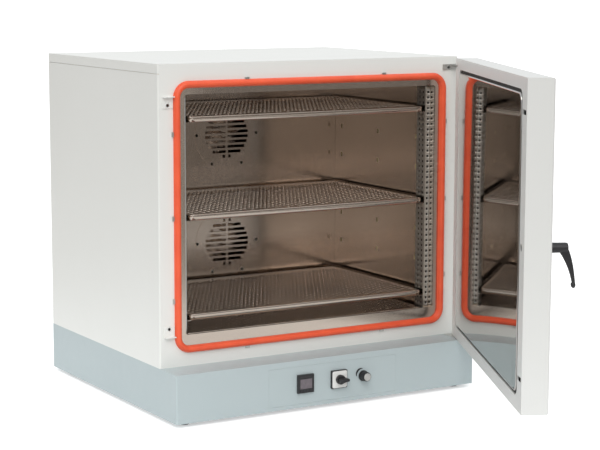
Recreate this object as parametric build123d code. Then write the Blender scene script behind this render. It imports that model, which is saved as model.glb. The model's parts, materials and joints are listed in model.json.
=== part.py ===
from build123d import *
from math import asin, atan2, cos, degrees, radians, sin, sqrt
import os

# A bench drying oven with a side-hinged door that stands open.
# Frame: X to the oven's right, Y to its back, Z up. The origin is under the middle
# of the casing's front edge, on the underside of the base plate. Lengths are in mm.

# Casing and base
CASING_W = 908.0
CASING_D = 685.0
CASING_H = 765.0
BASE_H = 125.0
BASE_NOSE = 90.0
SHEET = 1.5
EDGE_R = 4.0
FRONT_RETURN = 6.0
COVER_FLANGE = 24.0
SEAM = 0.8
FOOT_H = 10.0
FOOT_R = 16.0
FOOT_TIP_R = 13.0
FOOT_INSET = 40.0
FOOT_SIDES = 12
FOOT_RAIL = 76.0
HALF_W = CASING_W / 2
CASING_TOP = BASE_H + CASING_H
COVER_Z = CASING_TOP - COVER_FLANGE
FRONT_Y = -BASE_NOSE
RING_X = HALF_W - SHEET

# Rear of the casing and the base
LOUVRES = 8
LOUVRE_W = 120.0
LOUVRE_H = 6.0
LOUVRE_PITCH = 14.0
LOUVRE_X = 250.0
LOUVRE_Z = BASE_H + 65.0
GLAND_X = HALF_W - 124.0
GLAND_Z = BASE_H / 2 - 2.5
GLAND_R = 9.0
GLAND_BORE_R = 5.0
GLAND_NUT_R = 14.0
GLAND_OUT = 14.0
GLAND_IN = 10.0
RELAY_X = 180.0
RELAY_W = 45.0
RELAY_Y = 120.0
RELAY_D = 60.0
RELAY_H = 50.0

# Chamber and its liner
SIDE_WALL = 74.0
BOTTOM_WALL = 68.0
TOP_WALL = 77.0
REAR_SPACE = 110.0
MOTOR_SPACE = 65.0
LINER_T = 1.2
LIP_H = 12.0
RIM_W = 23.0
RIM_H = 25.0
FRAME_OPEN_R = 33.0
RIM_GAP = 0.5
MOUTH_R = 6.0
WALL_SEAT = 0.3
CHAMBER_W = CASING_W - 2 * SIDE_WALL
CHAMBER_H = CASING_H - BOTTOM_WALL - TOP_WALL
CHAMBER_D = CASING_D - REAR_SPACE
CHAMBER_Z = BASE_H + BOTTOM_WALL
LINER_TOP = CHAMBER_Z + CHAMBER_H
OPENING_Z = (CHAMBER_Z + LINER_TOP) / 2
FRAME_OPEN_W = CHAMBER_W + 2 * RIM_W
FRAME_OPEN_H = CHAMBER_H + 2 * RIM_H
JACKET_Y = CASING_D - MOTOR_SPACE

# Inner back wall, its fans and heaters
BAFFLE_Y = CHAMBER_D - 68.0
BAFFLE_FOLD = 20.0
BAFFLE_HOLE = 70.5
FAN_X = 13.0
FAN_DROP = 1.0
FAN_Z = (OPENING_Z - FAN_DROP - CHAMBER_H / 4, OPENING_Z - FAN_DROP + CHAMBER_H / 4)
GRILLE_R = 101.0
GRILLE_SIDES = 32
GRILLE_T = 1.2
GRILLE_SLOT_R = 70.0
GRILLE_SLOT_PITCH = 14.1
GRILLE_SLOT_H = 8.0
GRILLE_BAR = 6.0
GRILLE_ROWS = 8
GRILLE_SCREW_R = 96.0
GRILLE_SCREWS = 6
EAR_HOLE = 8.0
EAR_HOLE_X = 9.0
EAR_HOLE_Z = 63.0
SCREW_HEAD_R = 3.5
SCREW_HEAD_H = 1.6
WHEEL_R = 70.0
WHEEL_SIDES = 20
WHEEL_Y = BAFFLE_Y + 13.0
WHEEL_DEPTH = 34.0
WHEEL_DISC = 2.0
HUB_R = 15.0
HUB_BACK = 4.0
BLADES = 8
BLADE_T = 2.0
BLADE_INNER_R = 30.0
BLADE_TIP_GAP = 1.0
BLADE_SWEEP_DEG = 30.0
SHAFT_R = 5.0
SHAFT_END = JACKET_Y + 32.0
SHAFT_GAP = 0.05
SHAFT_HOLE = 7.0
SHAFT_END_GAP = 1.0
MOTOR_R = 42.0
MOTOR_L = 52.0
MOTOR_SIDES = 16
MOTOR_FLANGE = 96.0
MOTOR_FLANGE_T = 3.0
HEATER_R = 88.0
HEATER_TUBE = 8.0
HEATER_SIDES = 12
HEATER_LEG_X = 11.0
HEATER_Y = BAFFLE_Y + 31.0
HEATER_END = JACKET_Y - 8.0
HEATER_PLATE_T = 2.0
HEATER_PLATE_EDGE = 5.0
HEATER_HOLE_GAP = 0.5
VENT_X = -250.0
VENT_Z = LINER_TOP - 48.0
VENT_R = 15.0
VENT_SIDES = 16
VENT_GAP = 0.3
VENT_IN = 10.0
VENT_OUT = 20.0
VENT_FLANGE = 46.0
VENT_FLANGE_T = 2.0
PROBE_X = 150.0
PROBE_Z = OPENING_Z + 17.0
PROBE_R = 3.0
PROBE_SIDES = 8
PROBE_FLANGE = 16.0
PROBE_FLANGE_T = 2.0

# Side slots of the liner, the uprights and the shelves that they carry
SLOT_W = 8.0
SLOT_H = 12.0
SLOT_FIRST_Y = 88.0
SLOT_LAST_Y = BAFFLE_Y - 35.0
SLOT_UP = (-173.0, -90.0, 82.0, 165.0)
UPRIGHT_T = 1.2
UPRIGHT_LEG_X = 14.0
UPRIGHT_LEG_Y = 39.0
UPRIGHT_Y = 25.0
UPRIGHT_Z = CHAMBER_Z + 5.0
UPRIGHT_H = CHAMBER_H - 9.0
HOLE_PITCH = 29.0
HOLE_SIZE = 6.5
SHELF_SIDE = 22.0
SHELF_Z = (CHAMBER_Z + 58.0, OPENING_Z + 4.0, LINER_TOP - 57.0)
SHELF_W = CHAMBER_W - 2 * SHELF_SIDE
SHELF_Y = 22.0
SHELF_BACK = BAFFLE_Y - 25.0
SHELF_T = 1.2
SHELF_FOLD = 15.0
SHELF_R = 12.0
RAIL_T = 1.2
RAIL_FOOT = 14.0
RAIL_H = 18.0
SHELF_SEAT = 0.3
FLOOR_PLATE_Z = CHAMBER_Z + 8.0
FLOOR_PLATE_T = 1.0
FLOOR_PLATE_Y = 28.0
FLOOR_PLATE_BACK = BAFFLE_Y - 9.0
FLOOR_PLATE_GAP = 4.0

# Door gasket and its clips
GASKET_LAP = 9.0
GASKET_W = FRAME_OPEN_W + 2 * GASKET_LAP
GASKET_H = FRAME_OPEN_H + 2 * GASKET_LAP
GASKET_R = FRAME_OPEN_R + GASKET_LAP
GASKET_BAND = 18.0
GASKET_PROUD = 12.7
GASKET_EDGE = 4.5
CLIP_W = 12.0
CLIP_H = 5.0
CLIP_OUT = 4.0
CLIP_X = (-203.0, 212.0)
CLIP_UP = (-209.0, 1.0, 212.0)

# Door, in its closed place
DOOR_GAP = 1.5
DOOR_W = CASING_W
DOOR_Z = BASE_H + DOOR_GAP
DOOR_TOP = CASING_TOP - 3.5
DOOR_Y = -25.0
DOOR_T = 64.0
DOOR_R = 6.0
DOOR_SHEET = 1.2
DOOR_OPEN_DEG = 64.05
DOOR_OUT = DOOR_Y - DOOR_T
INNER_BORDER_X = 50.0
INNER_BORDER_Z = 31.5
INNER_BORDER_TOP = 28.5
INNER_OPEN_W = DOOR_W - 2 * INNER_BORDER_X
INNER_OPEN_H = DOOR_TOP - DOOR_Z - INNER_BORDER_Z - INNER_BORDER_TOP
INNER_OPEN_R = 24.0
INNER_LIP = 4.0
PAN_GAP = 8.0
PAN_W = INNER_OPEN_W - 2 * PAN_GAP
PAN_H = INNER_OPEN_H - 2 * PAN_GAP
PAN_Z = DOOR_Z + INNER_BORDER_Z + INNER_OPEN_H / 2
PAN_R = 20.0
PAN_RAISE = 12.0
PAN_SLOPE = 5.0
PAN_T = 1.0
BREAK_DEPTH = 4.0
BREAK_BAND = PAN_GAP + 2.0
FACE_SEAT = 0.3

# Hinges
HINGE_X = HALF_W - 14.0
HINGE_Y = DOOR_Y - 15.0
NOTCH_X = HINGE_X - 13.0
NOTCH_Y = HINGE_Y - 28.0
NOTCH_Z = (DOOR_TOP - 24.5, DOOR_TOP - 18.5)
ARM_R = 10.0
ARM_CORNER = 5.0
ARM_GAP = 1.0
ARM_Z = (NOTCH_Z[0] + ARM_GAP, NOTCH_Z[1] - ARM_GAP)
BRACKET_X = (HINGE_X - 37.0, HINGE_X + 7.0)
BRACKET_Z = (ARM_Z[0] - 9.0, ARM_Z[1] + 2.0)
BRACKET_T = 3.0
BOLT_X = HINGE_X - 20.0
BOLT_Z = BRACKET_Z[0] + 7.0
PIVOT_R = 5.0
PIVOT_GAP = 0.05
UPPER_PIN_TOP = DOOR_TOP - 4.5
LOWER_PIN_TOP = DOOR_Z + 24.5
LOWER_PLATE_X = (HINGE_X - 25.0, HINGE_X + 10.0)
LOWER_PLATE_Y = (HINGE_Y - 15.0, HINGE_Y + 35.0)
LOWER_PLATE_T = 1.2
BUSH_W = 18.0
BUSH_CAP = 1.5

# Latch and handle, in the door's closed place
LATCH_X = 36.0 - HALF_W
LATCH_Z = OPENING_Z
FILL_X = (LATCH_X + 42.0, HINGE_X + 6.0)
EYE_R = 9.0
SPINDLE_R = 7.0
SPINDLE_GAP = 0.1
SPINDLE_SQUARE = 8.0
SPINDLE_END = DOOR_Y - 2.0
CAM_R = 33.0
CAM_SIDES = 24
CAM_T = 5.0
CAM_Y = DOOR_OUT + 23.0
CAM_LOW_R = 12.0
CAM_HIGH_R = 26.0
CAM_TURN_DEG = 90.0
CAM_FIRST_DEG = (90.0, 270.0)
SLOT_END = 3.0
SLOT_STEPS = 8
PIN_R = 2.5
PIN_GAP = 0.35
PIN_SHORT = 0.5
ROD_W = 8.0
ROD_GAP = 0.08
ROD_Y = DOOR_Y - 30.0
ROD_BACK = 4.0
ROD_CHAMFER = 1.5
ROD_TIP_GAP = 6.0
GUIDE_FROM_TIP = 6.0
GUIDE_H = 16.0
GUIDE_HALF = 7.5
HANDLE_HUB_R = 12.0
HANDLE_HUB_L = 43.0
HANDLE_W = 14.0
HANDLE_FACE_GAP = 0.3
LEVER_START_OUT = 23.6
LEVER_START_DOWN = 11.7
LEVER_BEND_OUT = 54.0
LEVER_BEND_DOWN = 32.0
LEVER_INNER_OUT = 42.0
LEVER_INNER_DOWN = 43.0
LEVER_TIP_OUT = (53.5, 61.5)
LEVER_TIP_DOWN = 80.0
BULB_OUT = 57.0
BULB_DOWN = 85.0
BULB_HALF_W = 5.6
BULB_HALF_H = 8.0

# Keepers on the casing's front
KEEPER_T = 3.0
UPPER_KEEPER_Z = LINER_TOP - 6.0
LOWER_KEEPER_Z = CHAMBER_Z + 13.0
KEEPER_X = LATCH_X - 25.0
KEEPER_ROOT_X = LATCH_X + 5.0
KEEPER_ROOT = 16.0
KEEPER_NECK = 8.0
KEEPER_TONGUE = (LATCH_X - 23.0, LATCH_X + 11.0)
KEEPER_REACH = 12.0 - ROD_Y
KEEPER_CORNER = 4.0
KEEPER_HOLE_R = 7.0
KEEPER_LEG = 30.0
KEEPER_SCREW_X = LATCH_X - 11.0
KEEPER_SCREW_UP = 19.0
KEEPER_SLOT_GAP = 4.0
DOOR_SLOT_X = (KEEPER_X - 1.0, KEEPER_TONGUE[1] + 1.0)

# Controls on the base's front
PANEL_X = (-190.0, 200.0)
PANEL_Z = (10.0, BASE_H - 16.0)
PANEL_LIP = 6.0
PANEL_GAP = 0.3
CONTROL_Z = BASE_H / 2 + 0.5
NECK_GAP = 0.2
NECK_W = 13.0
CONTROLLER_X = -83.0
BEZEL = 48.0
BEZEL_OUT = 8.0
BEZEL_EDGE = 1.0
CONTROLLER_BODY = 44.5
CONTROLLER_DEPTH = 78.0
WINDOW_W = 36.0
WINDOW_H = 32.0
WINDOW_UP = 3.0
WINDOW_T = 3.0
WINDOW_SUNK = 0.8
KEYS = 4
KEY_W = 6.5
KEY_H = 4.0
KEY_PITCH = 9.6
KEY_DOWN = 18.5
KEY_GAP = 0.3
KEY_TRAVEL = 0.8
KEY_WELL = 4.0
KEY_PROUD = 1.0
KEY_STOP_GAP = 0.3
SWITCH_X = 19.0
SWITCH_PLATE = 48.0
SWITCH_PLATE_T = 8.0
SWITCH_BODY_W = 44.0
SWITCH_BODY_D = 50.0
SWITCH_HUB_R = 12.5
SWITCH_HUB_L = 8.0
SWITCH_SIDES = 24
SWITCH_SHAFT_R = 4.0
SWITCH_TIP = 18.0
GRIP_BACK = 10.0
GRIP_HALF = 6.0
GRIP_TIP_HALF = 3.0
GRIP_OUT = 22.0
GRIP_EDGE = 1.5
TURN_GAP = 0.05
TURN_FACE_GAP = 0.3
SHAFT_DEPTH = 20.0
KNOB_X = 95.0
KNOB_R = 13.0
KNOB_SIDES = 12
KNOB_L = 22.0
KNOB_NECK_OUT = 2.0
KNOB_SKIRT_R = 14.5
KNOB_SKIRT_H = 3.0
KNOB_CAP_R = 10.3
KNOB_CAP_T = 1.0
KNOB_SHAFT_R = 3.0
LIMITER_W = 32.0
LIMITER_D = 40.0

PARTS = {}


def keep(name, shape):
    """Keep a finished sub-part under its node name."""
    PARTS[name] = shape


def box(x0, x1, y0, y1, z0, z1):
    """A block between two corners."""
    return Pos((x0 + x1) / 2, (y0 + y1) / 2, (z0 + z1) / 2) * Box(x1 - x0, y1 - y0, z1 - z0)


def rod_y(x, z, r, y0, y1):
    """A round bar along Y."""
    return Pos(x, (y0 + y1) / 2, z) * Rot(90, 0, 0) * Cylinder(r, y1 - y0)


def rod_z(x, y, r, z0, z1):
    """A round bar along Z."""
    return Pos(x, y, (z0 + z1) / 2) * Cylinder(r, z1 - z0)


def rounded(w, h, r, y0, y1, x=0.0, z=OPENING_Z):
    """A rounded rectangle seen from the front, from y0 back to y1."""
    return extrude(seen_from_front(x, y1, z) * RectangleRounded(w, h, r), y1 - y0)


def group(shapes):
    """Keep separate solids of one node together."""
    return Compound(children=[s for shape in shapes for s in shape.solids()])


def both_sides(shape):
    """A solid and its mirror image on the other side of the oven."""
    return [shape, shape.mirror(Plane.YZ)]


def door_place(shape):
    """Swing what is drawn with the door closed to where the open door stands."""
    axis = Axis((HINGE_X, HINGE_Y, 0), (0, 0, 1))
    return shape.rotate(axis, DOOR_OPEN_DEG)


def plan(points, z0, z1):
    """Extrude an outline drawn in plan."""
    return Pos(0, 0, z0) * extrude(make_face(Polyline(*points, close=True)), z1 - z0)


def seen_from_front(x, y, z):
    """A plane across the oven, its drawing seen from the front, from which shapes rise forwards."""
    return Plane((x, y, z), x_dir=(1, 0, 0), z_dir=(0, -1, 0))


def make_base():
    """Base chassis with a rail for the feet along each side, its plate, and the control panel."""
    hollow_d = CASING_D + BASE_NOSE
    mid_y = (CASING_D - BASE_NOSE) / 2
    shell = Pos(0, mid_y, 0) * extrude(RectangleRounded(CASING_W, hollow_d, EDGE_R), BASE_H)
    inside = box(-RING_X, RING_X, FRONT_Y + SHEET, CASING_D - SHEET, SHEET, BASE_H - SHEET)
    window = box(PANEL_X[0] - PANEL_GAP, PANEL_X[1] + PANEL_GAP, FRONT_Y - 1, FRONT_Y + SHEET + 1,
                 PANEL_Z[0] - PANEL_GAP, PANEL_Z[1] + PANEL_GAP)
    hole = GLAND_R + PANEL_GAP
    gland = box(GLAND_X - hole, GLAND_X + hole, CASING_D - 2 * SHEET, CASING_D + SHEET,
                GLAND_Z - hole, GLAND_Z + hole)
    plate_x = HALF_W - FOOT_RAIL
    floor = box(-plate_x, plate_x, FRONT_Y + SHEET, CASING_D - SHEET, -SHEET, SHEET)
    keep("base_chassis", shell - inside - window - gland - floor)
    keep("base_plate", box(-plate_x, plate_x, FRONT_Y + SHEET, CASING_D - SHEET, 0, SHEET))
    feet = []
    for x in (-HALF_W + FOOT_INSET, HALF_W - FOOT_INSET):
        for y in (FRONT_Y + FOOT_INSET, CASING_D - FOOT_INSET):
            rings = [Pos(x, y, 0) * RegularPolygon(FOOT_R, FOOT_SIDES),
                     Pos(x, y, -FOOT_H) * RegularPolygon(FOOT_TIP_R, FOOT_SIDES)]
            feet.append(loft(rings, ruled=True))
    keep("feet", group(feet))
    panel = box(*PANEL_X, FRONT_Y, FRONT_Y + SHEET, *PANEL_Z)
    lip = PANEL_LIP
    panel += box(PANEL_X[0] - lip, PANEL_X[1] + lip, FRONT_Y + SHEET, FRONT_Y + 2 * SHEET,
                 PANEL_Z[0] - lip, PANEL_Z[1] + lip)
    panel -= box(CONTROLLER_X - CONTROLLER_BODY / 2, CONTROLLER_X + CONTROLLER_BODY / 2,
                 FRONT_Y - 1, FRONT_Y + 3 * SHEET,
                 CONTROL_Z - CONTROLLER_BODY / 2, CONTROL_Z + CONTROLLER_BODY / 2)
    for x in (SWITCH_X, KNOB_X):
        panel -= neck(x, NECK_GAP, FRONT_Y - 1, FRONT_Y + 3 * SHEET)
    keep("control_panel", panel)
    nut = seen_from_front(GLAND_X, CASING_D + GLAND_OUT, GLAND_Z)
    gland = extrude(nut * RegularPolygon(GLAND_NUT_R, 6), GLAND_OUT)
    gland += extrude(nut * RegularPolygon(GLAND_R, 8), GLAND_OUT + GLAND_IN)
    keep("cable_gland", gland - extrude(nut * RegularPolygon(GLAND_BORE_R, 8), GLAND_OUT))
    keep("relay", box(RELAY_X, RELAY_X + RELAY_W, RELAY_Y, RELAY_Y + RELAY_D, SHEET, SHEET + RELAY_H))


def neck(x, gap, y0, y1):
    """The square neck by which a rotary control passes through the panel."""
    half = NECK_W / 2 + gap
    return box(x - half, x + half, y0, y1, CONTROL_Z - half, CONTROL_Z + half)


def make_controls():
    """Controller with its keys, main switch and limiter knob."""
    half = BEZEL / 2
    x0, z0 = CONTROLLER_X, CONTROL_Z
    bezel = box(x0 - half, x0 + half, FRONT_Y - BEZEL_OUT, FRONT_Y, z0 - half, z0 + half)
    front = bezel.faces().sort_by(Axis.Y)[0]
    bezel = chamfer(front.edges(), BEZEL_EDGE)
    body = box(x0 - CONTROLLER_BODY / 2, x0 + CONTROLLER_BODY / 2, FRONT_Y,
               FRONT_Y + CONTROLLER_DEPTH,
               z0 - CONTROLLER_BODY / 2, z0 + CONTROLLER_BODY / 2)
    housing = bezel + body
    wx, wz = x0, z0 + WINDOW_UP
    pane_y = FRONT_Y - BEZEL_OUT
    housing -= box(wx - WINDOW_W / 2, wx + WINDOW_W / 2, pane_y - 1, pane_y + WINDOW_T,
                   wz - WINDOW_H / 2, wz + WINDOW_H / 2)
    key_z = z0 - KEY_DOWN
    for number in range(KEYS):
        key_x = x0 + (number - (KEYS - 1) / 2) * KEY_PITCH
        well_w, well_h = KEY_W / 2 + KEY_GAP, KEY_H / 2 + KEY_GAP
        housing -= box(key_x - well_w, key_x + well_w, pane_y - 1, pane_y + KEY_WELL,
                       key_z - well_h, key_z + well_h)
        key = box(key_x - KEY_W / 2, key_x + KEY_W / 2, pane_y - KEY_PROUD,
                  pane_y + KEY_WELL - KEY_TRAVEL - KEY_STOP_GAP,
                  key_z - KEY_H / 2, key_z + KEY_H / 2)
        keep(f"controller_key_{number + 1}", key)
    keep("controller_housing", housing)
    pane = box(wx - WINDOW_W / 2, wx + WINDOW_W / 2, pane_y + WINDOW_SUNK, pane_y + WINDOW_T,
               wz - WINDOW_H / 2, wz + WINDOW_H / 2)
    keep("display_window", pane)

    half = SWITCH_PLATE / 2
    plate = box(SWITCH_X - half, SWITCH_X + half, FRONT_Y - SWITCH_PLATE_T, FRONT_Y,
                z0 - half, z0 + half)
    plate = chamfer(plate.faces().sort_by(Axis.Y)[0].edges(), BEZEL_EDGE)
    top_y = FRONT_Y - SWITCH_PLATE_T
    keep("switch_plate", plate - neck(SWITCH_X, NECK_GAP, top_y - 1, FRONT_Y + 1))
    half = SWITCH_BODY_W / 2
    back_y = FRONT_Y + 2 * SHEET
    switch = box(SWITCH_X - half, SWITCH_X + half, back_y, back_y + SWITCH_BODY_D,
                 z0 - half, z0 + half)
    switch += neck(SWITCH_X, 0, top_y, back_y)
    switch -= rod_y(SWITCH_X, z0, SWITCH_SHAFT_R + TURN_GAP, top_y - 1, back_y + SHAFT_DEPTH)
    keep("switch_body", switch)
    hub_y = top_y - TURN_FACE_GAP
    hub = RegularPolygon(SWITCH_HUB_R, SWITCH_SIDES)
    lever = extrude(seen_from_front(SWITCH_X, hub_y, z0) * hub, SWITCH_HUB_L)
    grip = seen_from_front(SWITCH_X, hub_y, z0) * make_face(
        Polyline((-GRIP_BACK, -GRIP_HALF), (0, -GRIP_HALF), (SWITCH_TIP, -GRIP_TIP_HALF),
                 (SWITCH_TIP, GRIP_TIP_HALF), (0, GRIP_HALF), (-GRIP_BACK, GRIP_HALF), close=True))
    bar = extrude(grip, GRIP_OUT)
    bar = chamfer(bar.faces().sort_by(Axis.Y)[0].edges(), GRIP_EDGE)
    lever = lever + bar
    lever += rod_y(SWITCH_X, z0, SWITCH_SHAFT_R, hub_y, back_y + SHAFT_DEPTH - SHAFT_END_GAP)
    keep("switch_lever", lever)

    half = LIMITER_W / 2
    limiter = box(KNOB_X - half, KNOB_X + half, back_y, back_y + LIMITER_D, z0 - half, z0 + half)
    limiter += neck(KNOB_X, 0, FRONT_Y - KNOB_NECK_OUT, back_y)
    limiter -= rod_y(KNOB_X, z0, KNOB_SHAFT_R + TURN_GAP, FRONT_Y - KNOB_NECK_OUT - 1,
                     back_y + SHAFT_DEPTH)
    keep("limiter_body", limiter)
    knob_y = FRONT_Y - KNOB_NECK_OUT - TURN_FACE_GAP
    skirt_y = knob_y - KNOB_SKIRT_H
    base = seen_from_front(0, skirt_y, 0)
    cap_y = knob_y - KNOB_L
    rim = seen_from_front(0, cap_y + KNOB_CAP_T, 0)
    body = extrude(base * RegularPolygon(KNOB_R, KNOB_SIDES), KNOB_L - KNOB_SKIRT_H - KNOB_CAP_T)
    foot = seen_from_front(0, knob_y, 0)
    body += extrude(foot * RegularPolygon(KNOB_SKIRT_R, KNOB_SIDES), KNOB_SKIRT_H)
    body += extrude(rim * RegularPolygon(KNOB_CAP_R, KNOB_SIDES), KNOB_CAP_T)
    knob = Pos(KNOB_X, 0, z0) * body
    knob += rod_y(KNOB_X, z0, KNOB_SHAFT_R, knob_y, back_y + SHAFT_DEPTH - SHAFT_END_GAP)
    keep("limiter_knob", knob)


def side_panel():
    """Right-hand side sheet with its front and rear returns."""
    top = COVER_Z - SEAM
    outer = RectangleRounded(CASING_W, CASING_D, EDGE_R)
    inner = RectangleRounded(CASING_W - 2 * SHEET, CASING_D - 2 * SHEET, EDGE_R - SHEET)
    ring = Pos(0, CASING_D / 2, BASE_H) * extrude(outer - inner, top - BASE_H)
    edge = HALF_W - FRONT_RETURN
    return ring & box(edge, HALF_W + 1, -1, CASING_D + 1, BASE_H - 1, top + 1)


def make_casing():
    """Outer casing sheets, the floor and the bulkhead behind the chamber."""
    right, left = both_sides(side_panel())
    keep("side_panel_right", right)
    keep("side_panel_left", left)
    tray = Pos(0, CASING_D / 2, COVER_Z) * extrude(
        RectangleRounded(CASING_W, CASING_D, EDGE_R), COVER_FLANGE)
    inner = RectangleRounded(CASING_W - 2 * SHEET, CASING_D - 2 * SHEET, EDGE_R - SHEET)
    tray -= Pos(0, CASING_D / 2, COVER_Z) * extrude(inner, COVER_FLANGE - SHEET)
    edge = HALF_W - FRONT_RETURN
    under = CASING_TOP - SHEET
    keep("top_cover", tray - box(-edge, edge, -1, CASING_D + 1, COVER_Z - 1, under))
    plate = box(-edge, edge, 0, SHEET, BASE_H, under)
    keep("front_frame", plate - rounded(FRAME_OPEN_W, FRAME_OPEN_H, FRAME_OPEN_R, -1, 2 * SHEET))
    back = box(-edge, edge, CASING_D - SHEET, CASING_D, BASE_H, under)
    louvre = box(-LOUVRE_W / 2, LOUVRE_W / 2, CASING_D - 2 * SHEET, CASING_D + 1, 0, LOUVRE_H)
    for x in (-LOUVRE_X, LOUVRE_X):
        for row in range(LOUVRES):
            back -= Pos(x, 0, LOUVRE_Z + row * LOUVRE_PITCH) * louvre
    back = vent_hole(back, CASING_D - 2 * SHEET, CASING_D + 1)
    keep("rear_panel", back)
    edge = HALF_W - EDGE_R
    keep("casing_floor", box(-edge, edge, EDGE_R, CASING_D - EDGE_R, BASE_H, BASE_H + SHEET))
    bulkhead = box(-RING_X, RING_X, JACKET_Y, JACKET_Y + SHEET, BASE_H + SHEET, under)
    bulkhead = layer_holes(bulkhead, JACKET_Y - 1, JACKET_Y + 2 * SHEET)
    keep("rear_bulkhead", bulkhead)


def heater_legs(z, way):
    """Places of a heater's two legs, seen from the front."""
    up = way * HEATER_R * cos(radians(180 / HEATER_SIDES))
    return [(FAN_X - HEATER_LEG_X, z + up), (FAN_X + HEATER_LEG_X, z + up)]


def leg_holes(body, y0, y1):
    """Cut the square passages for the heater legs. Each ring's legs face the other ring."""
    half = HEATER_TUBE / 2 + HEATER_HOLE_GAP
    for ring_z, way in zip(FAN_Z, (1, -1)):
        for x, z in heater_legs(ring_z, way):
            body -= box(x - half, x + half, y0, y1, z - half, z + half)
    return body


def vent_hole(body, y0, y1):
    """Cut the square passage for the vent tube, which the tube's flange hides."""
    half = VENT_R + VENT_GAP
    return body - box(VENT_X - half, VENT_X + half, y0, y1, VENT_Z - half, VENT_Z + half)


def layer_holes(body, y0, y1):
    """Cut plain square passages for the fan shafts and the vent through a hidden layer."""
    for z in FAN_Z:
        body -= box(FAN_X - SHAFT_HOLE, FAN_X + SHAFT_HOLE, y0, y1, z - SHAFT_HOLE, z + SHAFT_HOLE)
    return vent_hole(body, y0, y1)


def make_chamber():
    """Stainless liner with its rim, and the insulation round it."""
    half = CHAMBER_W / 2
    back = CHAMBER_D + LINER_T
    liner = box(-half - LINER_T, half + LINER_T, 0, back, CHAMBER_Z - LINER_T, LINER_TOP + LINER_T)
    liner += rounded(FRAME_OPEN_W - 2 * RIM_GAP, FRAME_OPEN_H - 2 * RIM_GAP,
                     FRAME_OPEN_R - RIM_GAP, 0, LINER_T)
    liner -= box(-half, half, LINER_T, CHAMBER_D, CHAMBER_Z, LINER_TOP)
    mouth_z = (CHAMBER_Z + LIP_H + LINER_TOP) / 2
    liner -= rounded(CHAMBER_W, CHAMBER_H - LIP_H, MOUTH_R, -1, LINER_T, z=mouth_z)
    for side in (-1, 1):
        for y in (SLOT_FIRST_Y, (SLOT_FIRST_Y + SLOT_LAST_Y) / 2, SLOT_LAST_Y):
            for up in SLOT_UP:
                liner -= Pos(side * half, y, OPENING_Z + up) * Box(4 * LINER_T, SLOT_W, SLOT_H)
    liner = layer_holes(liner, CHAMBER_D - 1, back + 1)
    keep("chamber_liner", leg_holes(liner, CHAMBER_D - 1, back + 1))

    edge = HALF_W - EDGE_R
    jacket = box(-edge, edge, SHEET, JACKET_Y, BASE_H + SHEET, CASING_TOP - SHEET)
    jacket -= box(-half - LINER_T, half + LINER_T, 0, back, CHAMBER_Z - LINER_T,
                  LINER_TOP + LINER_T)
    jacket = leg_holes(jacket, back - 1, HEATER_END + SHAFT_END_GAP)
    keep("insulation_jacket", layer_holes(jacket, back - 1, JACKET_Y + 1))


def make_gasket():
    """Domed door gasket and the spring clips along its outer edge."""
    ring = rounded(GASKET_W, GASKET_H, GASKET_R, -GASKET_PROUD, 0)
    ring -= rounded(GASKET_W - 2 * GASKET_BAND, GASKET_H - 2 * GASKET_BAND,
                    GASKET_R - GASKET_BAND, -GASKET_PROUD - 1, 1)
    front = ring.faces().sort_by(Axis.Y)[0]
    keep("door_gasket", chamfer(front.edges(), GASKET_EDGE))

    half_w, half_h = GASKET_W / 2 + CLIP_H / 2, GASKET_H / 2 + CLIP_H / 2
    clips = []
    for x in CLIP_X:
        for way in (-1, 1):
            clips.append(Pos(x, -CLIP_OUT / 2, OPENING_Z + way * half_h)
                         * Box(CLIP_W, CLIP_OUT, CLIP_H))
    for up in CLIP_UP:
        for way in (-1, 1):
            clips.append(Pos(way * half_w, -CLIP_OUT / 2, OPENING_Z + up)
                         * Box(CLIP_H, CLIP_OUT, CLIP_W))
    keep("gasket_clips", group(clips))


def grille(z):
    """A round fan grille: slots in rows, cut short by the disc, split by a middle bar."""
    disc = extrude(seen_from_front(FAN_X, BAFFLE_Y, z) * RegularPolygon(GRILLE_R, GRILLE_SIDES),
                   GRILLE_T)
    y0, y1 = BAFFLE_Y - GRILLE_T - 1, BAFFLE_Y + 1
    for row in range(GRILLE_ROWS):
        up = (row - (GRILLE_ROWS - 1) / 2) * GRILLE_SLOT_PITCH
        reach = sqrt(GRILLE_SLOT_R ** 2 - (abs(up) + GRILLE_SLOT_H / 2) ** 2)
        long = reach - GRILLE_BAR / 2
        middle = (reach + GRILLE_BAR / 2) / 2
        for side in (-1, 1):
            slot = seen_from_front(FAN_X + side * middle, y1, z + up)
            disc -= extrude(slot * Rectangle(long, GRILLE_SLOT_H), y1 - y0)
    for side in (-1, 1):
        for up in (-EAR_HOLE_Z, EAR_HOLE_Z):
            hole = seen_from_front(FAN_X + side * EAR_HOLE_X, y1, z + up)
            disc -= extrude(hole * Rectangle(EAR_HOLE, EAR_HOLE), y1 - y0)
    return disc


def grille_screws(z):
    """Centres of the screws round a fan grille."""
    angles = [radians(360 * n / GRILLE_SCREWS) for n in range(GRILLE_SCREWS)]
    return [(FAN_X + GRILLE_SCREW_R * cos(a), z + GRILLE_SCREW_R * sin(a)) for a in angles]


def screw(x, z, face_y):
    """The hexagon head of a screw in a front face."""
    return extrude(seen_from_front(x, face_y, z) * RegularPolygon(SCREW_HEAD_R, 6), SCREW_HEAD_H)


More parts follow.
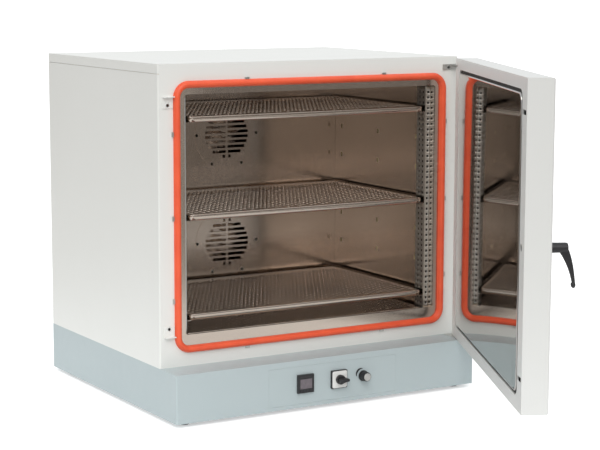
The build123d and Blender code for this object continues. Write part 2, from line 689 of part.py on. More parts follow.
def make_back_wall():
    """Inner back wall, its two fan grilles and their screws."""
    half = CHAMBER_W / 2 - WALL_SEAT
    low, high = CHAMBER_Z + WALL_SEAT, LINER_TOP - WALL_SEAT
    baffle = box(-half, half, BAFFLE_Y, BAFFLE_Y + BAFFLE_FOLD, low, high)
    baffle -= box(-half + LINER_T, half - LINER_T, BAFFLE_Y + LINER_T, BAFFLE_Y + BAFFLE_FOLD + 1,
                  low + LINER_T, high - LINER_T)
    for z in FAN_Z:
        baffle -= box(FAN_X - BAFFLE_HOLE, FAN_X + BAFFLE_HOLE, BAFFLE_Y - 1,
                      BAFFLE_Y + 2 * LINER_T, z - BAFFLE_HOLE, z + BAFFLE_HOLE)
    keep("back_baffle", baffle)
    for name, z in zip(("lower", "upper"), FAN_Z):
        keep(f"fan_grille_{name}", grille(z))


def fan_wheel(z):
    """Radial fan wheel with leaning blades, on its shaft."""
    back = WHEEL_Y + WHEEL_DEPTH
    wheel = extrude(seen_from_front(0, back, 0) * RegularPolygon(WHEEL_R, WHEEL_SIDES), WHEEL_DISC)
    plane = seen_from_front(0, back - WHEEL_DISC, 0)
    wheel += extrude(plane * RegularPolygon(HUB_R, 6), WHEEL_DEPTH - WHEEL_DISC - HUB_BACK)
    long = WHEEL_R - BLADE_TIP_GAP - BLADE_INNER_R
    sketch = Pos(BLADE_INNER_R, 0) * Rot(0, 0, BLADE_SWEEP_DEG) * Pos(long / 2, 0) * Rectangle(
        long, BLADE_T)
    blade = extrude(plane * sketch, WHEEL_DEPTH - WHEEL_DISC)
    wheel = wheel.fuse(*[blade.rotate(Axis.Y, 360 * n / BLADES) for n in range(BLADES)])
    wheel += rod_y(0, 0, SHAFT_R, WHEEL_Y, SHAFT_END)
    return Pos(FAN_X, 0, z) * wheel


def heater(z, way):
    """Ring heater round the fan wheel: a flat-sided element with two legs back through the wall."""
    y0 = HEATER_Y - HEATER_TUBE / 2
    plane = seen_from_front(FAN_X, y0 + HEATER_TUBE, z)
    half = HEATER_TUBE / 2
    ring = RegularPolygon(HEATER_R + half, HEATER_SIDES) - RegularPolygon(HEATER_R - half,
                                                                          HEATER_SIDES)
    element = extrude(plane * ring, HEATER_TUBE)
    (xa, za), (xb, zb) = heater_legs(z, way)
    reach = way * (HEATER_R + HEATER_TUBE)
    element -= box(xa + half, xb - half, y0 - 1, y0 + HEATER_TUBE + 1,
                   min(z, z + reach), max(z, z + reach))
    for x in (xa, xb):
        element += box(x - half, x + half, y0, HEATER_END, za - half, za + half)
    edge = half + HEATER_PLATE_EDGE
    return element + box(xa - edge, xb + edge, CHAMBER_D - HEATER_PLATE_T, CHAMBER_D,
                         za - edge, zb + edge)


def make_air():
    """Fan wheels, their motors, the heaters, the probe and the vent tube."""
    for name, z in zip(("lower", "upper"), FAN_Z):
        keep(f"fan_wheel_{name}", fan_wheel(z))
        y0 = JACKET_Y + SHEET
        can = seen_from_front(FAN_X, y0 + MOTOR_L, z)
        motor = extrude(can * RegularPolygon(MOTOR_R, MOTOR_SIDES), MOTOR_L)
        motor += Pos(FAN_X, y0 + MOTOR_FLANGE_T / 2, z) * Box(
            MOTOR_FLANGE, MOTOR_FLANGE_T, MOTOR_FLANGE)
        motor -= rod_y(FAN_X, z, SHAFT_R + SHAFT_GAP, y0 - 1, SHAFT_END + SHAFT_END_GAP)
        keep(f"fan_motor_{name}", motor)
    keep("ring_heaters", group([heater(z, way) for z, way in zip(FAN_Z, (1, -1))]))
    probe = extrude(seen_from_front(PROBE_X, CHAMBER_D, PROBE_Z)
                    * RegularPolygon(PROBE_R, PROBE_SIDES), CHAMBER_D - WHEEL_Y)
    half = PROBE_FLANGE / 2
    probe += box(PROBE_X - half, PROBE_X + half, CHAMBER_D - PROBE_FLANGE_T, CHAMBER_D,
                 PROBE_Z - half, PROBE_Z + half)
    keep("temperature_probe", probe)
    end_y = CASING_D + VENT_OUT
    vent = extrude(seen_from_front(VENT_X, end_y, VENT_Z) * RegularPolygon(VENT_R, VENT_SIDES),
                   end_y - CHAMBER_D + VENT_IN)
    half = VENT_FLANGE / 2
    vent += box(VENT_X - half, VENT_X + half, CASING_D, CASING_D + VENT_FLANGE_T,
                VENT_Z - half, VENT_Z + half)
    keep("vent_tube", vent)


def upright():
    """Right-hand shelf upright: an angle with a column of square holes in its front leg."""
    x1 = CHAMBER_W / 2
    x0 = x1 - UPRIGHT_LEG_X
    y0, top = UPRIGHT_Y, UPRIGHT_Z + UPRIGHT_H
    bar = box(x0, x0 + UPRIGHT_T, y0, y0 + UPRIGHT_LEG_Y, UPRIGHT_Z, top)
    bar += box(x0, x1, y0, y0 + UPRIGHT_T, UPRIGHT_Z, top)
    rows = int((UPRIGHT_H - HOLE_SIZE) // HOLE_PITCH)
    margin = (UPRIGHT_H - (rows - 1) * HOLE_PITCH) / 2
    hole = Box(HOLE_SIZE, 4 * UPRIGHT_T, HOLE_SIZE)
    centre_x = (x0 + UPRIGHT_T + x1) / 2
    return bar.cut(*[Pos(centre_x, y0, UPRIGHT_Z + margin + n * HOLE_PITCH) * hole
                     for n in range(rows)])


def make_shelving():
    """Uprights, shelf rails, the three shelves and the floor plate.

    A rail hangs on the front upright and ends in a tab against the inner back wall."""
    keep("uprights_front", group(both_sides(upright())))
    rail_x = CHAMBER_W / 2 - UPRIGHT_LEG_X
    rails = []
    for name, top in zip(("lower", "middle", "upper"), SHELF_Z):
        foot_top = top - SHELF_FOLD - SHELF_SEAT
        foot, head = foot_top - RAIL_T, foot_top - RAIL_T + RAIL_H
        rail = box(rail_x - RAIL_T, rail_x, UPRIGHT_Y, BAFFLE_Y, foot, head)
        rail += box(rail_x - RAIL_FOOT, rail_x, UPRIGHT_Y, BAFFLE_Y, foot, foot_top)
        rail += box(rail_x - RAIL_FOOT, rail_x, BAFFLE_Y - RAIL_T, BAFFLE_Y, foot, head)
        rails += both_sides(rail)
        keep(f"shelf_{name}", shelf(top))
    keep("shelf_rails", group(rails))
    half = rail_x - FLOOR_PLATE_GAP
    plate = box(-half, half, FLOOR_PLATE_Y, FLOOR_PLATE_BACK, CHAMBER_Z,
                FLOOR_PLATE_Z + FLOOR_PLATE_T)
    t = FLOOR_PLATE_T
    plate -= box(-half - 1, half + 1, FLOOR_PLATE_Y + t, FLOOR_PLATE_BACK - t,
                 CHAMBER_Z - 1, FLOOR_PLATE_Z)
    keep("floor_plate", plate)


def shelf(top):
    """A folded sheet shelf, open underneath, its front corners rounded."""
    half, back = SHELF_W / 2, SHELF_BACK
    tray = box(-half, half, SHELF_Y, back, top - SHELF_FOLD, top)
    tray = fillet(tray.edges().filter_by(Axis.Z).group_by(Axis.Y)[0], SHELF_R)
    t = SHELF_T
    under = (top - SHELF_FOLD - 1, top - t)
    tray -= box(-half + t, half - t, SHELF_Y + SHELF_R, back - t, *under)
    return tray - box(-half + SHELF_R, half - SHELF_R, SHELF_Y + t, SHELF_Y + SHELF_R, *under)


def keeper(top_z, leg_way):
    """Latch keeper: a tongue with a hole for the rod, and a leg screwed to the front frame."""
    root = KEEPER_ROOT
    points = [(KEEPER_X, 0), (KEEPER_X, -root), (KEEPER_TONGUE[0], -root - KEEPER_NECK),
              (KEEPER_TONGUE[0], -KEEPER_REACH), (KEEPER_TONGUE[1], -KEEPER_REACH),
              (KEEPER_TONGUE[1], -root), (KEEPER_ROOT_X, -root), (KEEPER_ROOT_X, 0)]
    body = plan(points, top_z - KEEPER_T, top_z)
    tip = body.edges().filter_by(Axis.Z).group_by(Axis.Y)[0]
    body = chamfer(tip, KEEPER_CORNER)
    body -= rod_z(LATCH_X, ROD_Y, KEEPER_HOLE_R, top_z - 2 * KEEPER_T, top_z + KEEPER_T)
    low = top_z - KEEPER_T - KEEPER_LEG if leg_way < 0 else top_z
    leg = box(KEEPER_X, KEEPER_ROOT_X, -KEEPER_T, 0, low, low + KEEPER_LEG)
    end = leg.edges().filter_by(Axis.Y).sort_by(Axis.Z)
    leg = chamfer(end[:2] if leg_way < 0 else end[-2:], KEEPER_CORNER)
    return body + leg


def make_door_furniture_on_casing():
    """Keepers and hinge brackets on the casing's front."""
    upper = keeper(UPPER_KEEPER_Z + KEEPER_T, -1)
    lower = keeper(LOWER_KEEPER_Z, 1)
    screws = [screw(x, screw_z, BAFFLE_Y - GRILLE_T)
              for z in FAN_Z for x, screw_z in grille_screws(z)]
    for z in (UPPER_KEEPER_Z - KEEPER_SCREW_UP, LOWER_KEEPER_Z + KEEPER_SCREW_UP):
        screws.append(screw(KEEPER_SCREW_X, z, -KEEPER_T))
    keep("latch_keepers", group([upper, lower]))
    plate = box(*BRACKET_X, -BRACKET_T, 0, *BRACKET_Z)
    arm = box(HINGE_X - ARM_R, HINGE_X + ARM_R, HINGE_Y - ARM_R, 0, *ARM_Z)
    arm = chamfer(arm.edges().filter_by(Axis.Z).group_by(Axis.Y)[0], ARM_CORNER)
    pin = rod_z(HINGE_X, HINGE_Y, PIVOT_R, ARM_Z[1], UPPER_PIN_TOP)
    keep("hinge_bracket_upper", plate + arm + pin)
    screws.append(screw(BOLT_X, BOLT_Z, -BRACKET_T))
    keep("screws", group(screws))
    low = box(*LOWER_PLATE_X, *LOWER_PLATE_Y, BASE_H, BASE_H + LOWER_PLATE_T)
    pin = rod_z(HINGE_X, HINGE_Y, PIVOT_R, BASE_H, LOWER_PIN_TOP)
    keep("hinge_bracket_lower", low + pin)


def make_door():
    """Door shell, inner frame, raised pan, thermal break, insulation and hinge bushes."""
    half = DOOR_W / 2
    t = DOOR_SHEET
    inner_half = half - t
    low, high = DOOR_Z + t, DOOR_TOP - t
    shell = box(-half, half, DOOR_OUT, DOOR_Y, DOOR_Z, DOOR_TOP)
    shell = fillet(shell.faces().sort_by(Axis.Y)[0].edges(), DOOR_R)
    hollow = box(-inner_half, inner_half, DOOR_OUT + t, DOOR_Y + 1, low, high)
    hollow = chamfer(hollow.faces().sort_by(Axis.Y)[0].edges(), DOOR_R - t)
    shell -= hollow
    notch = box(NOTCH_X, half + 1, NOTCH_Y, DOOR_Y + 1, *NOTCH_Z)
    pocket = box(NOTCH_X - t, inner_half, NOTCH_Y - t, DOOR_Y - t, NOTCH_Z[0] - t, NOTCH_Z[1] + t)
    shell = shell + pocket - notch
    shell -= rod_z(HINGE_X, HINGE_Y, PIVOT_R + PIVOT_GAP, NOTCH_Z[1] - 1, NOTCH_Z[1] + 2 * t)
    shell -= rod_z(HINGE_X, HINGE_Y, PIVOT_R + PIVOT_GAP, DOOR_Z - 1, low + 1)
    shell -= rod_y(LATCH_X, LATCH_Z, SPINDLE_R + SPINDLE_GAP, DOOR_OUT - 1, DOOR_OUT + 2 * t)
    keep("door_outer_shell", door_place(shell))

    sheet = box(-inner_half, inner_half, DOOR_Y - t, DOOR_Y, low, high)
    lip = rounded(INNER_OPEN_W + 2 * t, INNER_OPEN_H + 2 * t, INNER_OPEN_R + t,
                  DOOR_Y - INNER_LIP, DOOR_Y, z=PAN_Z)
    frame = sheet + lip
    frame -= rounded(INNER_OPEN_W, INNER_OPEN_H, INNER_OPEN_R, DOOR_Y - INNER_LIP - 1, DOOR_Y + 1,
                     z=PAN_Z)
    frame -= notch
    frame -= rod_y(LATCH_X, LATCH_Z, EYE_R, DOOR_Y - 2 * t, DOOR_Y + 1)
    for z in (UPPER_KEEPER_Z, LOWER_KEEPER_Z - KEEPER_T):
        frame -= box(*DOOR_SLOT_X, DOOR_Y - 2 * t, DOOR_Y + 1,
                     z - KEEPER_SLOT_GAP, z + KEEPER_T + KEEPER_SLOT_GAP)
    keep("door_inner_frame", door_place(frame))

    back = DOOR_Y - INNER_LIP
    ring_back = back - BREAK_DEPTH
    band_x, band_z = PAN_W / 2 + BREAK_BAND, PAN_H / 2 + BREAK_BAND
    ring = box(-band_x, band_x, ring_back, back, PAN_Z - band_z, PAN_Z + band_z)
    ring -= rounded(PAN_W, PAN_H, PAN_R, ring_back - 1, back + 1, z=PAN_Z)
    keep("door_thermal_break", door_place(ring))

    flange = box(-band_x, band_x, ring_back - PAN_T, ring_back, PAN_Z - band_z, PAN_Z + band_z)
    pan = flange + raised(0, ring_back - PAN_T, DOOR_Y + PAN_RAISE)
    pan -= raised(PAN_T, ring_back - PAN_T - 1, DOOR_Y + PAN_RAISE - PAN_T)
    keep("door_inner_pan", door_place(pan))

    body_back = ring_back - PAN_T
    filling = box(FILL_X[0], FILL_X[1], DOOR_OUT + t, body_back, low, high)
    filling = chamfer(filling.faces().sort_by(Axis.Y)[0].edges(), DOOR_R)
    fill_x, fill_z = PAN_W / 2 - PAN_R, PAN_H / 2 - PAN_R
    filling += box(-fill_x, fill_x, body_back - 1, DOOR_Y + PAN_RAISE - PAN_T - FACE_SEAT,
                   PAN_Z - fill_z, PAN_Z + fill_z)
    clear = box(NOTCH_X - t, half, NOTCH_Y - t, DOOR_Y, NOTCH_Z[0] - t, high + 1)
    filling -= clear
    filling -= box(NOTCH_X - t, half, NOTCH_Y - t, DOOR_Y, low - 1, LOWER_PIN_TOP + t)
    keep("door_insulation", door_place(filling))

    bushes = []
    half = BUSH_W / 2
    for z0, z1 in ((NOTCH_Z[1] + t, high), (low, LOWER_PIN_TOP)):
        bush = box(HINGE_X - half, HINGE_X + half, HINGE_Y - half, HINGE_Y + half, z0, z1)
        bushes.append(bush - rod_z(HINGE_X, HINGE_Y, PIVOT_R + PIVOT_GAP, z0 - 1,
                                   z1 + (1 if z0 < LATCH_Z else -BUSH_CAP)))
    keep("hinge_bushes", door_place(group(bushes)))


def raised(inset, y_back, y_front):
    """The door pan's raised form, its sides sloping in towards the chamber."""
    slope_start = DOOR_Y
    w, h, r = PAN_W - 2 * inset, PAN_H - 2 * inset, PAN_R - inset
    base = rounded(w, h, r, y_back, slope_start, z=PAN_Z)
    outline = seen_from_front(0, slope_start, PAN_Z) * RectangleRounded(w, h, r)
    rise = slope_start - y_front
    return base + extrude(outline, rise, taper=degrees(atan2(PAN_SLOPE, PAN_RAISE)))


def spiral_slot(start_deg):
    """A cam slot whose radius grows evenly over a quarter turn, as seen from the front."""
    half = PIN_R + PIN_GAP
    rise = (CAM_HIGH_R - CAM_LOW_R) / CAM_TURN_DEG
    first = -degrees(asin(SLOT_END / CAM_LOW_R))
    last = CAM_TURN_DEG + degrees(asin(SLOT_END / CAM_HIGH_R))
    turns = [first + (last - first) * n / SLOT_STEPS for n in range(SLOT_STEPS + 1)]
    sides = []
    for side in (-1, 1):
        points = []
        for turn in turns:
            radius = CAM_LOW_R + rise * turn
            radius += side * half * sqrt(1 + (degrees(rise) / radius) ** 2)
            angle = radians(start_deg - turn)
            points.append((radius * cos(angle), radius * sin(angle)))
        sides.append(points)
    return make_face(Polyline(*sides[0], *reversed(sides[1]), close=True))


def lever(profile):
    """The handle's lever: an arm that leaves the hub outwards and bends down to a bulb."""
    low_out, high_out = LEVER_TIP_OUT
    outer = ThreePointArc((HANDLE_HUB_L, 0), (LEVER_BEND_OUT, -LEVER_BEND_DOWN),
                          (high_out, -LEVER_TIP_DOWN))
    inner = ThreePointArc((low_out, -LEVER_TIP_DOWN), (LEVER_INNER_OUT, -LEVER_INNER_DOWN),
                          (LEVER_START_OUT, -LEVER_START_DOWN))
    root = (LEVER_START_OUT, 0)
    arm = make_face([outer, Line(outer @ 1, inner @ 0), inner, Line(inner @ 1, root),
                     Line(root, outer @ 0)])
    bulb = Pos(BULB_OUT, -BULB_DOWN) * Ellipse(BULB_HALF_W, BULB_HALF_H)
    return extrude(profile * arm, HANDLE_W) + extrude(profile * bulb, HANDLE_W)


def make_latch():
    """Handle with its spindle, the cam on it, and the two rods with their guides."""
    hub_y = DOOR_OUT - HANDLE_FACE_GAP
    hub = rod_y(LATCH_X, LATCH_Z, HANDLE_HUB_R, DOOR_OUT - HANDLE_HUB_L, hub_y)
    profile = Plane((LATCH_X + HANDLE_W / 2, DOOR_OUT, LATCH_Z), x_dir=(0, -1, 0),
                    z_dir=(-1, 0, 0))
    handle = hub + lever(profile)
    handle += rod_y(LATCH_X, LATCH_Z, SPINDLE_R, hub_y - 1, CAM_Y)
    half = SPINDLE_SQUARE / 2
    handle += box(LATCH_X - half, LATCH_X + half, CAM_Y, SPINDLE_END, LATCH_Z - half, LATCH_Z + half)
    keep("door_handle", door_place(handle))

    disc = RegularPolygon(CAM_R, CAM_SIDES) - Rectangle(SPINDLE_SQUARE, SPINDLE_SQUARE)
    for first in CAM_FIRST_DEG:
        disc -= spiral_slot(first)
    front = seen_from_front(LATCH_X, CAM_Y + CAM_T, LATCH_Z)
    keep("latch_cam", door_place(extrude(front * disc, CAM_T)))

    guides = []
    for name, way, tip in (("upper", 1, UPPER_KEEPER_Z - ROD_TIP_GAP),
                           ("lower", -1, LOWER_KEEPER_Z + ROD_TIP_GAP)):
        pin_z = LATCH_Z + way * CAM_LOW_R
        inner_end = pin_z - way * ROD_BACK
        low, high = sorted((inner_end, tip))
        rod = box(LATCH_X - ROD_W / 2, LATCH_X + ROD_W / 2, ROD_Y - ROD_W / 2,
                  ROD_Y + ROD_W / 2, low, high)
        rod = chamfer(rod.faces().sort_by(Axis.Z)[-1 if way > 0 else 0].edges(), ROD_CHAMFER)
        rod += rod_y(LATCH_X, pin_z, PIN_R, CAM_Y + PIN_SHORT, ROD_Y)
        keep(f"latch_rod_{name}", door_place(rod))
        guide_z = sorted((tip - way * GUIDE_FROM_TIP, tip - way * (GUIDE_FROM_TIP + GUIDE_H)))
        guide = box(LATCH_X - GUIDE_HALF, LATCH_X + GUIDE_HALF, ROD_Y - GUIDE_HALF,
                    DOOR_Y - DOOR_SHEET, *guide_z)
        way_half = ROD_W / 2 + ROD_GAP
        guide -= box(LATCH_X - way_half, LATCH_X + way_half, ROD_Y - way_half, ROD_Y + way_half,
                     guide_z[0] - 1, guide_z[1] + 1)
        guides.append(guide)
    keep("rod_guides", door_place(group(guides)))


make_base()
make_controls()
make_casing()
make_chamber()
make_gasket()
make_back_wall()
make_air()
make_shelving()
make_door_furniture_on_casing()
make_door()
make_latch()

os.makedirs("parts", exist_ok=True)
for node, shape in PARTS.items():
    export_step(shape, f"parts/{node}.step")
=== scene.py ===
import json
import math

import bmesh
import bpy
from mathutils import Matrix, Vector


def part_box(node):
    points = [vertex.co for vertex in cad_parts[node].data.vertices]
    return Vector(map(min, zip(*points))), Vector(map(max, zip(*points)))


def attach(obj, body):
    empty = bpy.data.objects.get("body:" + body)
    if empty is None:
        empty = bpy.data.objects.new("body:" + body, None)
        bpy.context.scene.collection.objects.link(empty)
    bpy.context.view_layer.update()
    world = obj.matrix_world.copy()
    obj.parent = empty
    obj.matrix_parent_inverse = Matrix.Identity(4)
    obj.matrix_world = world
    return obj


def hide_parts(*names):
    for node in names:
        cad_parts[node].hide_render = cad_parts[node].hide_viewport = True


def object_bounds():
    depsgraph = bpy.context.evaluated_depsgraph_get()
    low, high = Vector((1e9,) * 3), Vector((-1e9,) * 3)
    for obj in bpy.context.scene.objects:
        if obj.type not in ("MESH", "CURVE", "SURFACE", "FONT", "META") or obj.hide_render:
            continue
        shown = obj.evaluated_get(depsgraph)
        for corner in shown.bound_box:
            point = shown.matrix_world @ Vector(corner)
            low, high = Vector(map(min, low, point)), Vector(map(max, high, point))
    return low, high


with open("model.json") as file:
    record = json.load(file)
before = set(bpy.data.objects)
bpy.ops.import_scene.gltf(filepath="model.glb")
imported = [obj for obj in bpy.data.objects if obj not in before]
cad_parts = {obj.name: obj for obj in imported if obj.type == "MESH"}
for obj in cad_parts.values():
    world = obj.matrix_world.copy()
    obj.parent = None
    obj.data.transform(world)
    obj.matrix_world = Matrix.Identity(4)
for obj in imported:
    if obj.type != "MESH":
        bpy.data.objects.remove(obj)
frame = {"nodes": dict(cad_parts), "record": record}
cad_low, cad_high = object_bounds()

scene = bpy.context.scene

# A bench drying oven with two fans, dressed for its picture with the door open.
# Lengths are in metres, in the part's frame: X to the oven's right, Y to its back, Z up.
CAMERA_PLACE = (-2.3825, -3.9059, 1.1133)
CAMERA_YAW = math.radians(-30.90)
CAMERA_PITCH = math.radians(90 - 8.14)
CAMERA_ROLL = math.radians(0.143)
SENSOR = 36.0
LENS = 105.85
VIEW_REACH = 400

# The door stands open; its pieces are made in the closed place and swung round the hinge.
# The handle's spindle leaves the closed door's face at LATCH.
HINGE = Vector((0.440, -0.040, 0.0))
DOOR_OPEN = math.radians(64.05)
LATCH = Vector((-0.418, -0.089, 0.503))


def place_camera():
    """The camera that took the photograph."""
    camera = bpy.data.objects.new("camera", bpy.data.cameras.new("camera"))
    scene.collection.objects.link(camera)
    camera.data.sensor_width = SENSOR
    camera.data.lens = LENS
    camera.data.clip_end = VIEW_REACH
    turn = (Matrix.Rotation(CAMERA_YAW, 4, "Z") @ Matrix.Rotation(CAMERA_PITCH, 4, "X")
            @ Matrix.Rotation(CAMERA_ROLL, 4, "Z"))
    camera.matrix_world = Matrix.Translation(CAMERA_PLACE) @ turn
    scene.camera = camera


place_camera()
scene.view_settings.view_transform = "Standard"

# Light and floor
SKY_LOW = 0.68
SKY_HIGH = 1.00
SKY_COLOUR = (0.97, 0.985, 1.0, 1)
WHITE = (1, 1, 1, 1)
SUN_STRENGTH = 1.2
SUN_FROM = Vector((-0.42, -0.66, 0.62))
SUN_SOFTNESS = math.radians(35)
SUN_COLOUR = (1.0, 0.985, 0.96)
# The floor turns to its dusk colour between the near and the far distance, for all but camera
# rays:
# painted shade, seen in the metal's reflections and in bounced light. Its glow is for camera rays
# only.
FLOOR_SIZE = 240.0
FLOOR_GAP = 0.0005
FLOOR_COLOUR = (0.94, 0.94, 0.94)
FLOOR_ROUGHNESS = 0.9
FLOOR_GLOW = 0.45
FLOOR_NEAR = 1.2
FLOOR_FAR = 2.4
FLOOR_DUSK = (0.22, 0.19, 0.165)


def make_light():
    """A pale sky that looks white to the camera, and one soft sun from the front left."""
    world = bpy.data.worlds.new("studio")
    scene.world = world
    world.use_nodes = True
    nodes, links = world.node_tree.nodes, world.node_tree.links
    nodes.clear()
    out = nodes.new("ShaderNodeOutputWorld")
    mix = nodes.new("ShaderNodeMixShader")
    soft = nodes.new("ShaderNodeBackground")
    white = nodes.new("ShaderNodeBackground")
    path = nodes.new("ShaderNodeLightPath")
    soft.inputs["Color"].default_value = SKY_COLOUR
    way = nodes.new("ShaderNodeTexCoord")
    split = nodes.new("ShaderNodeSeparateXYZ")
    rise = nodes.new("ShaderNodeMapRange")
    rise.inputs["To Min"].default_value = SKY_LOW
    rise.inputs["To Max"].default_value = SKY_HIGH
    links.new(way.outputs["Generated"], split.inputs["Vector"])
    links.new(split.outputs["Z"], rise.inputs["Value"])
    links.new(rise.outputs["Result"], soft.inputs["Strength"])
    white.inputs["Color"].default_value = WHITE
    white.inputs["Strength"].default_value = 1.0
    links.new(path.outputs["Is Camera Ray"], mix.inputs["Fac"])
    links.new(soft.outputs["Background"], mix.inputs[1])
    links.new(white.outputs["Background"], mix.inputs[2])
    links.new(mix.outputs["Shader"], out.inputs["Surface"])
    sun = bpy.data.objects.new("sun", bpy.data.lights.new("sun", "SUN"))
    scene.collection.objects.link(sun)
    sun.data.energy = SUN_STRENGTH
    sun.data.angle = SUN_SOFTNESS
    sun.data.color = SUN_COLOUR
    sun.rotation_euler = SUN_FROM.to_track_quat("Z", "Y").to_euler()


NOISE_ROUGHNESS = 0.55


def node(look, kind, **values):
    """A shader node with some of its inputs set by name."""
    made = look.node_tree.nodes.new(kind)
    for name, value in values.items():
        made.inputs[name.replace("_", " ")].default_value = value
    return made


def finish(name, colour, roughness, metallic=0.0, **values):
    """A new material and its main shader."""
    look = bpy.data.materials.new(name)
    look.use_nodes = True
    shader = look.node_tree.nodes["Principled BSDF"]
    shader.inputs["Base Color"].default_value = (*colour, 1)
    shader.inputs["Roughness"].default_value = roughness
    shader.inputs["Metallic"].default_value = metallic
    for key, value in values.items():
        shader.inputs[key.replace("_", " ")].default_value = value
    return look, shader


def link(look, source, target):
    """Join an output to an input."""
    look.node_tree.links.new(source, target)


def noise(look, scale, detail, stretch=(1, 1, 1)):
    """Noise in the piece's own coordinates, from 0 to 1."""
    place = node(look, "ShaderNodeTexCoord")
    fit = node(look, "ShaderNodeMapping", Scale=stretch)
    cloud = node(look, "ShaderNodeTexNoise", Scale=scale, Detail=detail,
                 Roughness=NOISE_ROUGHNESS)
    link(look, place.outputs["Object"], fit.inputs["Vector"])
    link(look, fit.outputs["Vector"], cloud.inputs["Vector"])
    return cloud.outputs["Fac"]


def cells(look, scale):
    """The random value of each cell of a Voronoi pattern."""
    place = node(look, "ShaderNodeTexCoord")
    pattern = node(look, "ShaderNodeTexVoronoi", Scale=scale)
    link(look, place.outputs["Object"], pattern.inputs["Vector"])
    split = node(look, "ShaderNodeSeparateColor")
    link(look, pattern.outputs["Color"], split.inputs["Color"])
    return split.outputs["Red"]


def spread(look, value, low, high, start=0.3, end=0.7):
    """A value mapped onto another range."""
    fit = node(look, "ShaderNodeMapRange")
    for key, number in (("From Min", start), ("From Max", end), ("To Min", low), ("To Max", high)):
        fit.inputs[key].default_value = number
    link(look, value, fit.inputs["Value"])
    return fit.outputs["Result"]


def tint(look, shader, value, first, second):
    """Colour the surface between two colours."""
    mix = node(look, "ShaderNodeMix")
    mix.data_type = "RGBA"
    sockets = [s for s in mix.inputs if s.type == "RGBA"]
    sockets[0].default_value = (*first, 1)
    sockets[1].default_value = (*second, 1)
    link(look, value, mix.inputs[0])
    colour = [s for s in mix.outputs if s.type == "RGBA"][0]
    link(look, colour, shader.inputs["Base Color"])


def relief(look, shader, value, strength, depth):
    """Raise the surface a little by a value."""
    bump = node(look, "ShaderNodeBump", Strength=strength, Distance=depth)
    link(look, value, bump.inputs["Height"])
    link(look, bump.outputs["Normal"], shader.inputs["Normal"])


def paint(name, colour, dusk, roughness=0.42):
    """Powder coat: fine orange peel, with faint uneven gloss and tone."""
    look, shader = finish(name, colour, roughness, Coat_Weight=0.15, Coat_Roughness=0.25)
    tone = noise(look, scale=3.0, detail=4)
    tint(look, shader, spread(look, tone, low=0, high=1), colour, dusk)
    gloss = noise(look, scale=40, detail=4)
    link(look, spread(look, gloss, low=roughness - 0.05, high=roughness + 0.06),
         shader.inputs["Roughness"])
    relief(look, shader, noise(look, scale=900, detail=2), strength=0.12, depth=0.0002)
    return look


def brushed(name, colour, dusk, roughness, stretch, wave):
    """Steel sheet with fine drawn grain along one direction, and slow waves in the sheet."""
    look, shader = finish(name, colour, roughness, 1.0)
    tone = noise(look, scale=5.0, detail=5)
    tint(look, shader, spread(look, tone, low=0, high=1), colour, dusk)
    grain = noise(look, scale=1800, detail=2, stretch=stretch)
    link(look, spread(look, grain, low=roughness * 0.8, high=roughness * 1.25),
         shader.inputs["Roughness"])
    fine = node(look, "ShaderNodeBump", Strength=0.04, Distance=0.0001)
    link(look, grain, fine.inputs["Height"])
    slow = node(look, "ShaderNodeBump", Strength=wave, Distance=0.004)
    link(look, noise(look, scale=4.5, detail=1), slow.inputs["Height"])
    link(look, slow.outputs["Normal"], fine.inputs["Normal"])
    link(look, fine.outputs["Normal"], shader.inputs["Normal"])
    return look


def moulded(name, colour, dusk, roughness, grain=1400, strength=0.15):
    """Moulded plastic or rubber with a fine eroded skin."""
    look, shader = finish(name, colour, roughness)
    tone = noise(look, scale=30, detail=3)
    tint(look, shader, spread(look, tone, low=0, high=1), colour, dusk)
    gloss = noise(look, scale=120, detail=3)
    link(look, spread(look, gloss, low=roughness - 0.06, high=roughness + 0.08),
         shader.inputs["Roughness"])
    relief(look, shader, noise(look, scale=grain, detail=2), strength, depth=0.0002)
    return look


def galvanised():
    """Zinc sheet with its spangle."""
    look, shader = finish("zinc_sheet", (0.56, 0.58, 0.60), 0.45, 1.0)
    flakes = cells(look, scale=120)
    tint(look, shader, flakes, (0.50, 0.52, 0.54), (0.66, 0.68, 0.70))
    link(look, spread(look, flakes, low=0.34, high=0.56, start=0, end=1),
         shader.inputs["Roughness"])
    relief(look, shader, noise(look, scale=200, detail=3), strength=0.08, depth=0.0003)
    return look


def silicone():
    """Orange-red gasket rubber, slightly dusty."""
    colour, dusk = (0.90, 0.125, 0.045), (0.82, 0.100, 0.038)
    look, shader = finish("gasket_silicone", colour, 0.36, Subsurface_Weight=0.12,
                          Subsurface_Radius=(0.006, 0.002, 0.001), Subsurface_Scale=1.0)
    tone = noise(look, scale=22, detail=4)
    tint(look, shader, spread(look, tone, low=0, high=1), colour, dusk)
    dust = noise(look, scale=60, detail=4)
    link(look, spread(look, dust, low=0.34, high=0.52), shader.inputs["Roughness"])
    relief(look, shader, noise(look, scale=600, detail=3), strength=0.12, depth=0.0004)
    return look


def fibre():
    """Mineral wool, matted and uneven."""
    look, shader = finish("insulation", (0.62, 0.52, 0.30), 0.95, Sheen_Weight=0.3)
    tufts = noise(look, scale=60, detail=8, stretch=(1, 1, 4))
    tint(look, shader, spread(look, tufts, low=0, high=1), (0.68, 0.58, 0.34),
         (0.50, 0.40, 0.22))
    mat = noise(look, scale=140, detail=8, stretch=(1, 1, 3))
    relief(look, shader, mat, strength=0.9, depth=0.004)
    return look


def glass():
    """The controller's unlit grey window."""
    colour, dusk = (0.165, 0.140, 0.158), (0.135, 0.115, 0.130)
    look, shader = finish("display_window", colour, 0.12, Coat_Weight=0.4)
    tone = noise(look, scale=90, detail=3)
    tint(look, shader, spread(look, tone, low=0, high=1), colour, dusk)
    smears = noise(look, scale=200, detail=4)
    link(look, spread(look, smears, low=0.06, high=0.16), shader.inputs["Roughness"])
    return look


